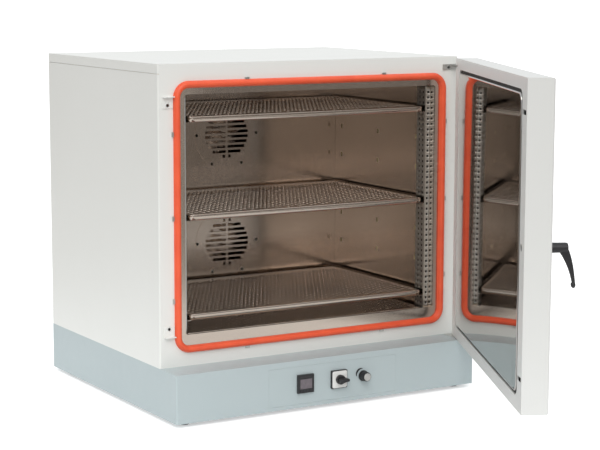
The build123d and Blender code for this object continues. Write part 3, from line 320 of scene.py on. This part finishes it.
# Each material slot of the record, with its finish
LOOKS = {
    "casing_paint": paint("casing_paint", (0.825, 0.832, 0.802), (0.810, 0.817, 0.785)),
    "base_paint": paint("base_paint", (0.475, 0.548, 0.562), (0.460, 0.534, 0.548)),
    # door_paint is the casing's white paint made a little darker: painted shade on the door
    # standing open.
    "door_paint": paint("door_paint", (0.755, 0.762, 0.742), (0.738, 0.745, 0.724)),
    "zinc_sheet": galvanised(),
    "stainless": brushed("stainless", (0.62, 0.535, 0.465), (0.58, 0.495, 0.425), 0.17,
                         (1, 1, 0.02), 0.02),
    "stainless_polished": brushed("stainless_polished", (0.53, 0.52, 0.505), (0.51, 0.50, 0.485),
                                  0.035, (1, 1, 0.02), 0.01),
    "gasket_silicone": silicone(),
    "black_plastic": moulded("black_plastic", (0.016, 0.016, 0.018), (0.024, 0.024, 0.026), 0.42),
    "knob_plastic": moulded("knob_plastic", (0.014, 0.014, 0.015), (0.020, 0.020, 0.022), 0.36),
    "white_plastic": moulded("white_plastic", (0.78, 0.78, 0.76), (0.75, 0.75, 0.73), 0.38),
    "display_window": glass(),
    "key_plastic": moulded("key_plastic", (0.020, 0.021, 0.024), (0.028, 0.029, 0.032), 0.5),
    "black_rubber": moulded("black_rubber", (0.02, 0.02, 0.02), (0.035, 0.034, 0.032), 0.7,
                            grain=700, strength=0.3),
    "insulation": fibre(),
    "motor_paint": paint("motor_paint", (0.10, 0.11, 0.12), (0.08, 0.085, 0.095), 0.5),
    "plated_steel": brushed("plated_steel", (0.62, 0.62, 0.60), (0.56, 0.56, 0.54), 0.32,
                            (1, 1, 1), 0.05),
    "bronze": brushed("bronze", (0.60, 0.42, 0.22), (0.50, 0.34, 0.17), 0.4, (1, 1, 1), 0.05),
}

# Edges sharper than this stay sharp in the shading.
SHARP_ANGLE = math.radians(28)
BEVEL_ANGLE = math.radians(35)
BEVEL_SEGMENTS = 2


def dress_cad():
    """Every CAD node gets the finish that the record names for it."""
    named = {part["node"]: part["material_slot"] for part in frame["record"]["subparts"]}
    for name, piece in frame["nodes"].items():
        piece.data.materials.clear()
        piece.data.materials.append(LOOKS[named[name]])
        piece.data.shade_smooth()
        piece.data.set_sharp_from_angle(angle=SHARP_ANGLE)


def add_piece(name, body, slot, points, faces, stands_for=(), angle=SHARP_ANGLE):
    """A mesh that rides on a body and takes the finish of a material slot."""
    mesh = bpy.data.meshes.new(name)
    mesh.from_pydata([tuple(p) for p in points], [], faces)
    mesh.validate()
    mesh.shade_smooth()
    mesh.set_sharp_from_angle(angle=angle)
    mesh.materials.append(LOOKS[slot])
    piece = bpy.data.objects.new(name, mesh)
    scene.collection.objects.link(piece)
    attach(piece, body)
    if stands_for:
        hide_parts(*stands_for)
    return piece


def thicken(piece, thickness):
    """Give a sheet its thickness, behind the drawn face."""
    solid = piece.modifiers.new("thickness", "SOLIDIFY")
    solid.thickness = thickness
    solid.offset = -1


def soften(piece, width):
    """Round the sharp edges of a piece."""
    bevel = piece.modifiers.new("edges", "BEVEL")
    bevel.width = width
    bevel.segments = BEVEL_SEGMENTS
    bevel.limit_method = "ANGLE"
    bevel.angle_limit = BEVEL_ANGLE
    bevel.harden_normals = True


class Net:
    """A growing mesh whose corners are shared by place."""

    def __init__(self):
        self.points = []
        self.index = {}
        self.faces = []

    def corner(self, point):
        """The number of the corner at a point, new or already there."""
        key = tuple(round(v, 6) for v in point)
        if key not in self.index:
            self.index[key] = len(self.points)
            self.points.append(point)
        return self.index[key]

    def face(self, *points):
        """Add one face by its corners."""
        self.faces.append([self.corner(p) for p in points])


# Forms are pairs of lists: points, and faces as numbers of points.
LOOP_STEPS = 5
TURNED_SIDES = 40


def add_solid(name, body, slot, form, stands_for=(), angle=SHARP_ANGLE):
    """A closed piece whose faces all look outwards."""
    piece = add_piece(name, body, slot, *form, stands_for, angle)
    net = bmesh.new()
    net.from_mesh(piece.data)
    bmesh.ops.recalc_face_normals(net, faces=net.faces)
    net.to_mesh(piece.data)
    net.free()
    piece.data.set_sharp_from_angle(angle=angle)
    return piece


def swing(points):
    """Points of the closed door, turned to where it stands open."""
    turn = Matrix.Rotation(DOOR_OPEN, 3, "Z")
    return [tuple(HINGE + turn @ (Vector(p) - HINGE)) for p in points]


def rounded_path(w, h, r, x, z, steps):
    """Points of a rounded rectangle seen from the front, with their outward normals."""
    path = []
    for cx, cz, start in ((w / 2 - r, h / 2 - r, 0), (r - w / 2, h / 2 - r, 90),
                          (r - w / 2, r - h / 2, 180), (w / 2 - r, r - h / 2, 270)):
        for k in range(steps + 1):
            a = math.radians(start + 90 * k / steps)
            path.append(((x + cx + r * math.cos(a), z + cz + r * math.sin(a)),
                         (math.cos(a), math.sin(a))))
    return path


def loop(x, z, y, w, h, r, steps=LOOP_STEPS):
    """A rounded rectangle in the plane at y."""
    return [(px, y, pz) for (px, pz), way in rounded_path(w, h, r, x, z, steps)]


def loft(*rings):
    """Points and faces of a closed form through rings of equally many points."""
    size = len(rings[0])
    points = [p for ring in rings for p in ring]
    last = len(points) - size
    faces = [list(range(size)), list(range(last, last + size))]
    for i in range(len(rings) - 1):
        for k in range(size):
            n = (k + 1) % size
            faces.append((i * size + k, i * size + n, (i + 1) * size + n, (i + 1) * size + k))
    return points, faces


def collar(*rings):
    """Points and faces of a ring-shaped form whose section runs round the given loops."""
    size, count = len(rings[0]), len(rings)
    points = [p for ring in rings for p in ring]
    faces = []
    for i in range(count):
        j = (i + 1) % count
        for k in range(size):
            n = (k + 1) % size
            faces.append((i * size + k, i * size + n, j * size + n, j * size + k))
    return points, faces


def together(*forms):
    """One list of points and faces from several forms."""
    points, faces = [], []
    for more, outline in forms:
        start = len(points)
        points += more
        faces += [[start + k for k in face] for face in outline]
    return points, faces


def turned(x, z, profile, steps=TURNED_SIDES, ripple=lambda turn: 1.0):
    """A form turned about an axis along Y through x, z, from (y, radius) pairs."""
    turns = [2 * math.pi * k / steps for k in range(steps)]
    rings = []
    for y, radius in profile:
        rings.append([(x + radius * ripple(a) * math.cos(a), y,
                       z + radius * ripple(a) * math.sin(a)) for a in turns])
    return loft(*rings)


def block(x0, x1, y0, y1, z0, z1):
    """A form with eight corners, for hidden ends and for blocks of painted shade."""
    return loft([(x0, y0, z0), (x1, y0, z0), (x1, y0, z1), (x0, y0, z1)],
                [(x0, y1, z0), (x1, y1, z0), (x1, y1, z1), (x0, y1, z1)])


# Perforated shelves and floor plate. The holes are larger and further apart than the
# photograph's, because the real spacing can't be made out at the picture's size.
HOLE_STEP = 0.0205
COLUMN_STEP = HOLE_STEP * math.sqrt(3) / 2
PERFORATION_R = 0.0079
PERFORATION_SIDES = 16
SIDE_BORDER = 0.014
FRONT_BORDER = 0.010
REAR_BORDER = 0.022
BEND = 0.0025
SHEET_T = 0.0008
SHELF_CORNER = 0.012
FLOOR_CORNER = 0.004
CORNER_STEPS = 5
BEND_TURNS = (0, 30, 60, 90)


def perforated_net(x0, x1, y0, y1, z, corner):
    """A flat sheet with staggered holes, and its outline as points with their outward normals."""
    net = Net()
    columns = 2 * int((x1 - x0 - 2 * SIDE_BORDER) / COLUMN_STEP / 2) + 1
    rows = int((y1 - y0 - FRONT_BORDER - REAR_BORDER) / HOLE_STEP)
    left = (x0 + x1 - columns * COLUMN_STEP) / 2
    front = y0 + FRONT_BORDER
    flat = [left + k * COLUMN_STEP / 2 for k in range(2 * columns + 1)]
    deep = [front + k * HOLE_STEP / 2 for k in range(2 * rows + 1)]
    turns = [2 * math.pi * k / PERFORATION_SIDES for k in range(PERFORATION_SIDES)]

    def face(*corners):
        """Add one face of the flat sheet."""
        net.face(*[(*q, z) for q in corners])

    for column in range(columns):
        xa, xm, xb = flat[2 * column:2 * column + 3]
        for row in range(rows - column % 2):
            first = 2 * row + column % 2
            ya, ym, yb = deep[first:first + 3]
            ring = [(xb, ym), (xb, yb), (xm, yb), (xa, yb), (xa, ym), (xa, ya), (xm, ya), (xb, ya)]
            hole = [(xm + PERFORATION_R * math.cos(a), ym + PERFORATION_R * math.sin(a))
                    for a in turns]
            for k in range(8):
                n = (k + 1) % 8
                face(ring[k], ring[n], hole[2 * n], hole[2 * k + 1], hole[2 * k])
        if column % 2:
            for ya, yb in (deep[:2], deep[-2:]):
                face((xa, ya), (xm, ya), (xb, ya), (xb, yb), (xm, yb), (xa, yb))
    for xa, xb in zip(flat, flat[1:]):
        face((xa, y0), (xb, y0), (xb, front), (xa, front))
        face((xa, deep[-1]), (xb, deep[-1]), (xb, y1), (xa, y1))
    for ya, yb in zip(deep, deep[1:]):
        face((x0, ya), (left, ya), (left, yb), (x0, yb))
        face((flat[-1], ya), (x1, ya), (x1, yb), (flat[-1], yb))
    arcs = []
    for cx, cy, start in ((x1 - corner, y0 + corner, -90), (x1 - corner, y1 - corner, 0),
                          (x0 + corner, y1 - corner, 90), (x0 + corner, y0 + corner, 180)):
        swept = [math.radians(start + 90 * k / CORNER_STEPS) for k in range(CORNER_STEPS + 1)]
        arcs.append([((cx + corner * math.cos(a), cy + corner * math.sin(a)),
                      (math.cos(a), math.sin(a))) for a in swept])
    outline = [((x, y0), (0, -1)) for x in flat] + arcs[0]
    outline += [((x1, y), (1, 0)) for y in deep] + arcs[1]
    outline += [((x, y1), (0, 1)) for x in reversed(flat)] + arcs[2]
    outline += [((x0, y), (-1, 0)) for y in reversed(deep)] + arcs[3]
    right, back = flat[-1], deep[-1]
    for arc, inner, first, last in ((arcs[0], (right, front), (right, y0), (x1, front)),
                                    (arcs[1], (right, back), (x1, back), (right, y1)),
                                    (arcs[2], (left, back), (left, y1), (x0, back)),
                                    (arcs[3], (left, front), (x0, front), (left, y0))):
        face(inner, first, *[place for place, way in arc], last)
    return net, outline


def folded_sheet(name, body, node_name, corner):
    """A perforated sheet with its edges bent down all round, in place of a CAD node."""
    low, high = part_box(node_name)
    x0, x1, y0, y1 = low.x + BEND, high.x - BEND, low.y + BEND, high.y - BEND
    net, outline = perforated_net(x0, x1, y0, y1, high.z, corner - BEND)
    rings = []
    for turn in BEND_TURNS:
        a = math.radians(turn)
        rings.append((BEND * math.sin(a), high.z - BEND * (1 - math.cos(a))))
    rings.append((BEND, low.z))
    for (out_a, za), (out_b, zb) in zip(rings, rings[1:]):
        for (p, n), (q, m) in zip(outline, outline[1:] + outline[:1]):
            if (p, n) == (q, m):
                continue
            net.face((p[0] + out_a * n[0], p[1] + out_a * n[1], za),
                     (p[0] + out_b * n[0], p[1] + out_b * n[1], zb),
                     (q[0] + out_b * m[0], q[1] + out_b * m[1], zb),
                     (q[0] + out_a * m[0], q[1] + out_a * m[1], za))
    piece = add_piece(name, body, "stainless", net.points, net.faces, [node_name])
    thicken(piece, SHEET_T)


def make_shelves():
    """The three sliding shelves and the raised floor plate."""
    for level in ("upper", "middle", "lower"):
        folded_sheet(f"shelf_{level}_sheet", f"shelf_{level}", f"shelf_{level}", SHELF_CORNER)
    folded_sheet("floor_plate_sheet", "casing", "floor_plate", FLOOR_CORNER)


# Uprights with their columns of square holes. OPEN_BANDS are the strips of the unrolled
# sheet that hold the holes, counted from the front leg's edge at the wall.
UPRIGHT_PITCH = 0.0145
UPRIGHT_HOLE = 0.0065
UPRIGHT_T = 0.0012
UPRIGHT_LEG = 0.014
SIDE_COLUMNS = (0.010, 0.026)
OPEN_BANDS = (1, 4, 6)
# The next two lengths place black blocks inside the uprights: painted shade behind the holes.
SHADE_BLOCK_BACK = 0.0035
SHADE_BLOCK_GAP = 0.001


def add_upright(net, side):
    """Add one front upright: a leg across the oven, and a leg along the wall to its back."""
    low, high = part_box("uprights_front")
    x_wall, x_face = high.x, high.x - UPRIGHT_LEG
    centre = UPRIGHT_LEG - (UPRIGHT_T + UPRIGHT_LEG) / 2
    half = UPRIGHT_HOLE / 2
    edges = [0.0, centre - half, centre + half, UPRIGHT_LEG]
    for column in SIDE_COLUMNS:
        edges += [UPRIGHT_LEG + column - half, UPRIGHT_LEG + column + half]
    edges.append(UPRIGHT_LEG + high.y - low.y)
    count = int((high.z - low.z - UPRIGHT_HOLE) / UPRIGHT_PITCH)
    margin = (high.z - low.z - (count - 1) * UPRIGHT_PITCH) / 2
    levels = [low.z]
    for n in range(count):
        middle = low.z + margin + n * UPRIGHT_PITCH
        levels += [middle - half, middle + half]
    levels.append(high.z)

    def place(u, z):
        """A point of the unrolled sheet, folded at the leg's edge."""
        if u <= UPRIGHT_LEG:
            return side * (x_wall - u), low.y, z
        return side * x_face, low.y + u - UPRIGHT_LEG, z

    for band, (ua, ub) in enumerate(zip(edges, edges[1:])):
        for step, (za, zb) in enumerate(zip(levels, levels[1:])):
            if band in OPEN_BANDS and step % 2 == 1:
                continue
            corners = [place(ua, za), place(ub, za), place(ub, zb), place(ua, zb)]
            if side < 0:
                corners.reverse()
            net.face(*corners)


def make_uprights():
    """The front uprights on both sides, and black blocks inside them as painted shade, seen
    through their holes.
    """
    net = Net()
    for side in (-1, 1):
        add_upright(net, side)
    piece = add_piece("uprights_sheet", "casing", "plated_steel", net.points, net.faces,
                      ["uprights_front"])
    thicken(piece, UPRIGHT_T)
    low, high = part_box("uprights_front")
    # Painted shade: black blocks inside the uprights darken what shows through the holes.
    inner, outer = high.x - UPRIGHT_LEG + SHADE_BLOCK_BACK, high.x - SHADE_BLOCK_GAP
    shade_blocks = []
    for side in (-1, 1):
        x0, x1 = sorted((side * inner, side * outer))
        shade_blocks.append(block(x0, x1, low.y + SHADE_BLOCK_BACK, high.y - SHADE_BLOCK_GAP,
                              low.z + SHADE_BLOCK_GAP, high.z - SHADE_BLOCK_GAP))
    add_solid("upright_painted_shade", "casing", "black_plastic", together(*shade_blocks))


# Door gasket
GASKET_HALF = 0.009
GASKET_SHOULDER = 0.0082
GASKET_STEM = 0.0036
GASKET_LIP = 0.0008
GASKET_CORNER = 0.033
DOME_STEPS = 14
GASKET_CORNER_STEPS = 10


def make_gasket():
    """The domed silicone gasket round the opening."""
    low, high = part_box("door_gasket")
    proud = high.y - low.y
    turns = [math.radians(180 - 180 * k / DOME_STEPS) for k in range(DOME_STEPS + 1)]
    profile = [(-GASKET_HALF, 0.0), (-GASKET_HALF, GASKET_STEM - GASKET_LIP)]
    profile += [(GASKET_SHOULDER * math.cos(a), GASKET_STEM + (proud - GASKET_STEM) * math.sin(a))
                for a in turns]
    profile += [(GASKET_HALF, GASKET_STEM - GASKET_LIP), (GASKET_HALF, 0.0)]
    path = rounded_path(high.x - low.x - 2 * GASKET_HALF, high.z - low.z - 2 * GASKET_HALF,
                        GASKET_CORNER, 0.0, (low.z + high.z) / 2, GASKET_CORNER_STEPS)
    rings = [[(px + out * nx, high.y - forward, pz + out * nz) for out, forward in profile]
             for (px, pz), (nx, nz) in path]
    add_piece("gasket_ring", "casing", "gasket_silicone", *collar(*rings), ["door_gasket"])


# Door handle, in the closed door's place. Profiles are pairs of Y and radius. The lever's
# curves are pairs of the distance out from LATCH and the height above it.
HUB_PROFILE = ((-0.0893, 0.0104), (-0.0903, 0.0120), (-0.1060, 0.0117), (-0.1250, 0.0117),
               (-0.1300, 0.0113), (-0.1317, 0.0095), (-0.1320, 0.0060))
SPINDLE_PROFILE = ((-0.066, 0.0069), (-0.0905, 0.0069))
SPINDLE_SIDES = 24
SPINDLE_END = (-0.066, -0.027)
SPINDLE_END_HALF = 0.004
LEVER_OUTER = ((0.0425, 0.001), (0.0538, -0.032), (0.0613, -0.080))
LEVER_INNER = ((0.0238, -0.0100), (0.0422, -0.043), (0.0537, -0.080))
LEVER_STEPS = 14
LEVER_HALF_WIDTH = (0.0069, 0.0052)
LEVER_SIDES = 20
LEVER_SQUARENESS = 0.7
BULB = (0.057, -0.085)
BULB_HALF = (0.0054, 0.0079, 0.0064)
BULB_LEAN = 0.0006
BULB_PARTS = (-0.35, 0.0, 0.35, 0.65, 0.88, 0.98)
HANDLE_SHARP = math.radians(40)


def through(first, middle, last, t):
    """A point on the smooth curve through three points."""
    weights = ((1 - t) * (1 - 2 * t), 4 * t * (1 - t), t * (2 * t - 1))
    return Vector([sum(w * q[k] for w, q in zip(weights, (first, middle, last))) for k in (0, 1)])


def lever_ring(centre, across, half_width):
    """A rounded section of the lever: across it in the bend's plane, and along X."""
    ring = []
    for k in range(LEVER_SIDES):
        a = 2 * math.pi * k / LEVER_SIDES
        c, d = math.cos(a), math.sin(a)
        u = math.copysign(abs(c) ** LEVER_SQUARENESS, c)
        v = math.copysign(abs(d) ** LEVER_SQUARENESS, d)
        out, down = centre + across * u
        ring.append((LATCH.x + half_width * v, LATCH.y - out, LATCH.z + down))
    return ring


def make_handle():
    """The black lever handle: a turned hub, a curved arm and its bulb, and the spindle."""
    rings = []
    wide, narrow = LEVER_HALF_WIDTH
    for step in range(LEVER_STEPS + 1):
        t = step / LEVER_STEPS
        outer, inner = through(*LEVER_OUTER, t), through(*LEVER_INNER, t)
        rings.append(lever_ring((outer + inner) / 2, (outer - inner) / 2,
                                wide + (narrow - wide) * t))
    half_out, half_down, half_width = BULB_HALF
    for part in BULB_PARTS:
        size = math.sqrt(1 - part * part)
        centre = Vector((BULB[0] + BULB_LEAN * part, BULB[1] - half_down * part))
        rings.append(lever_ring(centre, Vector((half_out * size, 0)), half_width * size))
    half = SPINDLE_END_HALF
    points, faces = together(turned(LATCH.x, LATCH.z, HUB_PROFILE), loft(*rings),
                             turned(LATCH.x, LATCH.z, SPINDLE_PROFILE, SPINDLE_SIDES),
                             block(LATCH.x - half, LATCH.x + half, *SPINDLE_END,
                                   LATCH.z - half, LATCH.z + half))
    add_solid("handle_lever", "handle", "black_plastic", (swing(points), faces),
              ["door_handle"], HANDLE_SHARP)


# Latch keepers as photographed: painted angles with a short tongue
KEEPER_X = (-0.443, -0.413)
KEEPER_OUT = 0.013
KEEPER_T = 0.0025
KEEPER_LEG = 0.030
KEEPER_BEND = 0.001
KEEPER_ROUND = 0.0006


def keeper_form(z_tongue, leg_way):
    """An angle: a leg on the casing's front and a tongue that stands out from it."""
    x0, x1 = KEEPER_X
    t, bend = KEEPER_T, KEEPER_BEND
    section = [(0.0, 0.0), (-KEEPER_OUT, 0.0), (-KEEPER_OUT, leg_way * t),
               (-t - bend, leg_way * t), (-t, leg_way * (t + bend)),
               (-t, leg_way * KEEPER_LEG), (0.0, leg_way * KEEPER_LEG)]
    return loft([(x0, y, z_tongue + up) for y, up in section],
                [(x1, y, z_tongue + up) for y, up in section])


def make_keepers():
    """The upper and lower keepers."""
    low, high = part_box("latch_keepers")
    form = together(keeper_form(high.z, -1), keeper_form(low.z, 1))
    piece = add_solid("keeper_angles", "casing", "casing_paint", form, ["latch_keepers"])
    soften(piece, KEEPER_ROUND)


# Door pan and what fills the door behind it, in the closed door's place. Steps are pairs:
# the pan's are inset and Y, the filling's are Y and inset.
PAN_SIZE = (0.792, 0.684)
PAN_CENTRE = (0.0, 0.508)
PAN_CORNER = 0.020
PAN_CORNER_STEPS = 8
PAN_FLANGE = 0.010
PAN_T = 0.001
PAN_STEPS = ((0.0, -0.0340), (0.0, -0.0262), (0.0003, -0.0246), (0.0012, -0.0235),
             (0.0025, -0.0230), (0.0040, -0.0229))
FILLING = (-0.374, 0.405, 0.131, 0.882)
FILLING_CORNER = 0.012
FILLING_STEPS = ((-0.0860, 0.004), (-0.0820, 0.0), (-0.0380, 0.0), (-0.0355, 0.003))


def make_pan():
    """The polished pan on the door's inner side, its edge rolled over."""
    (w, h), (x, z) = PAN_SIZE, PAN_CENTRE
    rings = [loop(x, z, PAN_STEPS[0][1], w + 2 * PAN_FLANGE, h + 2 * PAN_FLANGE,
                  PAN_CORNER + PAN_FLANGE, PAN_CORNER_STEPS)]
    for inset, y in PAN_STEPS:
        rings.append(loop(x, z, y, w - 2 * inset, h - 2 * inset, PAN_CORNER - inset,
                          PAN_CORNER_STEPS))
    points, faces = loft(*rings)
    open_behind = [face[::-1] for face in faces[1:]]
    piece = add_piece("door_pan", "door", "stainless_polished", swing(points), open_behind,
                      ["door_inner_pan"])
    thicken(piece, PAN_T)


def make_filling():
    """The door's insulation, kept behind the pan."""
    x0, x1, z0, z1 = FILLING
    rings = [loop((x0 + x1) / 2, (z0 + z1) / 2, y, x1 - x0 - 2 * inset, z1 - z0 - 2 * inset,
                  FILLING_CORNER) for y, inset in FILLING_STEPS]
    points, faces = loft(*rings)
    add_solid("door_filling", "door", "insulation", (swing(points), faces),
              ["door_insulation"])


# Controls on the front of the base. Rings are Y from the panel's face, side and corner radius.
PANEL_FACE = -0.090
CONTROL_HEIGHT = 0.063
SWITCH_AT = 0.019
SWITCH_HOLE = (0.0136, 0.0006)
CASE_RINGS = ((-0.0002, 0.048, 0.003), (-0.0066, 0.048, 0.003), (-0.0074, 0.0466, 0.003),
              (-0.0074, *SWITCH_HOLE), (-0.0002, *SWITCH_HOLE))
FACE_RINGS = ((-0.0073, 0.0446, 0.005), (-0.0078, 0.0446, 0.005), (-0.0080, 0.0438, 0.005),
              (-0.0080, *SWITCH_HOLE), (-0.0073, *SWITCH_HOLE))
KNOB_AT = 0.095
KNOB_PROFILE = ((-0.0923, 0.0143), (-0.0953, 0.0143), (-0.0957, 0.0129), (-0.1110, 0.0125),
                (-0.1130, 0.0118))
KNOB_SKIRT = 2
KNOB_SHARP = math.radians(50)
FLUTES = 18
FLUTE_DEPTH = 0.05
FLUTE_WIDTH = 0.6
GRIP_SIDES = 180
ROUND_SIDES = 60
SHAFT_SIDES = 24
KNOB_SHAFT = ((-0.091, 0.0029), (-0.070, 0.0029))
CAP_PROFILE = ((-0.1128, 0.0102), (-0.1138, 0.0102), (-0.1142, 0.0096), (-0.1143, 0.0050))
MARK_STEPS = 18
MARK_INNER = 0.0185
MARK_OUTER = 0.0195
MARK_SWELL = 0.0045
MARK_START = 0.06
PRINT_T = 0.0002
STRIP = (-0.1006, -0.0654, 0.0756, 0.0815)
STRIP_CORNER = 0.0008
STRIP_CORE = 0.001


def square_rings(x, z, rings):
    """A ring-shaped form of rounded squares on the panel."""
    return collar(*[loop(x, z, PANEL_FACE + y, side, side, r) for y, side, r in rings])


def make_switch_plate():
    """The switch's black case and its white face, with the square way through for its neck."""
    add_solid("switch_case", "casing", "black_plastic",
              square_rings(SWITCH_AT, CONTROL_HEIGHT, CASE_RINGS), ["switch_plate"])
    add_solid("switch_face", "casing", "white_plastic",
              square_rings(SWITCH_AT, CONTROL_HEIGHT, FACE_RINGS))


def make_knob():
    """The limiter's fluted knob with its bright cap."""
    def flutes(turn):
        """The share of the radius that is left at a turn."""
        return 1.0 - FLUTE_DEPTH * (0.5 - 0.5 * math.cos(FLUTES * turn)) ** FLUTE_WIDTH

    x, z = KNOB_AT, CONTROL_HEIGHT
    skirt = turned(x, z, KNOB_PROFILE[:KNOB_SKIRT], ROUND_SIDES)
    grip = turned(x, z, KNOB_PROFILE[KNOB_SKIRT - 1:], GRIP_SIDES, flutes)
    shaft = turned(x, z, KNOB_SHAFT, SHAFT_SIDES)
    add_solid("knob_grip", "limiter_knob", "knob_plastic", together(skirt, grip, shaft),
              ["limiter_knob"], KNOB_SHARP)
    add_solid("knob_cap", "limiter_knob", "plated_steel",
              turned(x, z, CAP_PROFILE, ROUND_SIDES))


def make_knob_mark():
    """The printed crescent beside the knob."""
    inner, outer = [], []
    for k in range(MARK_STEPS + 1):
        a = math.radians(180 - 90 * k / MARK_STEPS)
        swell = math.sin(math.pi * min(1.0, MARK_START + (1 - MARK_START) * k / MARK_STEPS))
        for side, radius in ((inner, MARK_INNER), (outer, MARK_OUTER + MARK_SWELL * swell)):
            side.append((KNOB_AT + radius * math.cos(a), CONTROL_HEIGHT + radius * math.sin(a)))
    outline = inner + outer[::-1]
    mark = loft([(x, PANEL_FACE, z) for x, z in outline],
                [(x, PANEL_FACE - PRINT_T, z) for x, z in outline])
    add_solid("knob_mark", "casing", "black_plastic", mark)


def make_window_strip():
    """The dark strip along the top of the controller's window."""
    x0, x1, z0, z1 = STRIP
    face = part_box("display_window")[0].y
    outer = (x1 - x0, z1 - z0, STRIP_CORNER)
    core = (STRIP_CORE, STRIP_CORE, STRIP_CORE / 5)
    rings = [loop((x0 + x1) / 2, (z0 + z1) / 2, y, *size) for y, size in
             ((face, outer), (face - PRINT_T, outer), (face - PRINT_T, core), (face, core))]
    add_solid("window_strip", "casing", "black_plastic", collar(*rings))


# Screw heads, as pairs: share of the rise from the back, and share of the radius
SCREW_SIDES = 24
SCREW_PROFILE = ((0.0, 1.0), (0.35, 1.0), (0.75, 0.86), (1.0, 0.55), (0.5, 0.42))


def islands(mesh):
    """The corner sets of a mesh's separate pieces."""
    link_to = list(range(len(mesh.vertices)))

    def root(k):
        """The first corner of the set that a corner belongs to."""
        while link_to[k] != k:
            k = link_to[k]
        return k

    for edge in mesh.edges:
        a, b = root(edge.vertices[0]), root(edge.vertices[1])
        link_to[a] = b
    groups = {}
    for corner in mesh.vertices:
        groups.setdefault(root(corner.index), []).append(corner.co)
    return list(groups.values())


def make_screws():
    """Domed screw heads with a round socket, where the part has its screws."""
    forms = []
    for corners in islands(frame["nodes"]["screws"].data):
        x0, y0, z0 = [min(c[k] for c in corners) for k in range(3)]
        x1, y1, z1 = [max(c[k] for c in corners) for k in range(3)]
        radius, rise = (x1 - x0) / 2, y1 - y0
        head = [(y1 - along * rise, share * radius) for along, share in SCREW_PROFILE]
        forms.append(turned((x0 + x1) / 2, (z0 + z1) / 2, head, SCREW_SIDES))
    add_solid("screw_heads", "casing", "plated_steel", together(*forms), ["screws"])


# Small roundings on carried-over nodes
EDGE_ROUND = 0.0007
KEY_ROUND = 0.00035
KEYS = ("controller_key_1", "controller_key_2", "controller_key_3", "controller_key_4")
ROUNDED_NODES = ("base_chassis", "control_panel", "top_cover", "side_panel_left",
                 "side_panel_right", "front_frame", "rear_panel", "controller_housing",
                 "hinge_bracket_upper", "hinge_bracket_lower", "gasket_clips",
                 "door_outer_shell", "door_inner_frame", "feet", "cable_gland", "switch_lever")


def round_edges():
    """The small roundings of bent sheet and mouldings."""
    for name in ROUNDED_NODES:
        soften(frame["nodes"][name], EDGE_ROUND)
    for name in KEYS:
        soften(frame["nodes"][name], KEY_ROUND)


def make_floor():
    """A plain pale floor under the feet."""
    mesh = bpy.data.meshes.new("floor")
    half = FLOOR_SIZE / 2
    low = cad_low[2] - FLOOR_GAP
    mesh.from_pydata([(-half, -half, low), (half, -half, low), (half, half, low),
                      (-half, half, low)], [], [(0, 1, 2, 3)])
    floor = bpy.data.objects.new("floor", mesh)
    scene.collection.objects.link(floor)
    look, shader = finish("floor", FLOOR_COLOUR, FLOOR_ROUGHNESS)
    patches = noise(look, scale=2, detail=3)
    link(look, spread(look, patches, low=0.88, high=0.95), shader.inputs["Roughness"])
    path = node(look, "ShaderNodeLightPath")
    seen = spread(look, path.outputs["Is Camera Ray"], low=0, high=FLOOR_GLOW, start=0, end=1)
    shader.inputs["Emission Color"].default_value = WHITE
    link(look, seen, shader.inputs["Emission Strength"])
    place = node(look, "ShaderNodeTexCoord")
    reach = node(look, "ShaderNodeVectorMath")
    reach.operation = "LENGTH"
    link(look, place.outputs["Object"], reach.inputs[0])
    # Painted shade: past FLOOR_NEAR the floor darkens to FLOOR_DUSK for all but camera rays.
    near = spread(look, reach.outputs["Value"], low=1, high=0, start=FLOOR_NEAR, end=FLOOR_FAR)
    lit = node(look, "ShaderNodeMath")
    lit.operation = "MAXIMUM"
    link(look, near, lit.inputs[0])
    link(look, path.outputs["Is Camera Ray"], lit.inputs[1])
    tint(look, shader, lit.outputs["Value"], FLOOR_DUSK, FLOOR_COLOUR)
    mesh.materials.append(look)


make_light()
dress_cad()
make_floor()
make_shelves()
make_uprights()
make_gasket()
make_handle()
make_switch_plate()
make_knob()
make_knob_mark()
make_window_strip()
make_screws()
make_keepers()
make_pan()
make_filling()
round_edges()
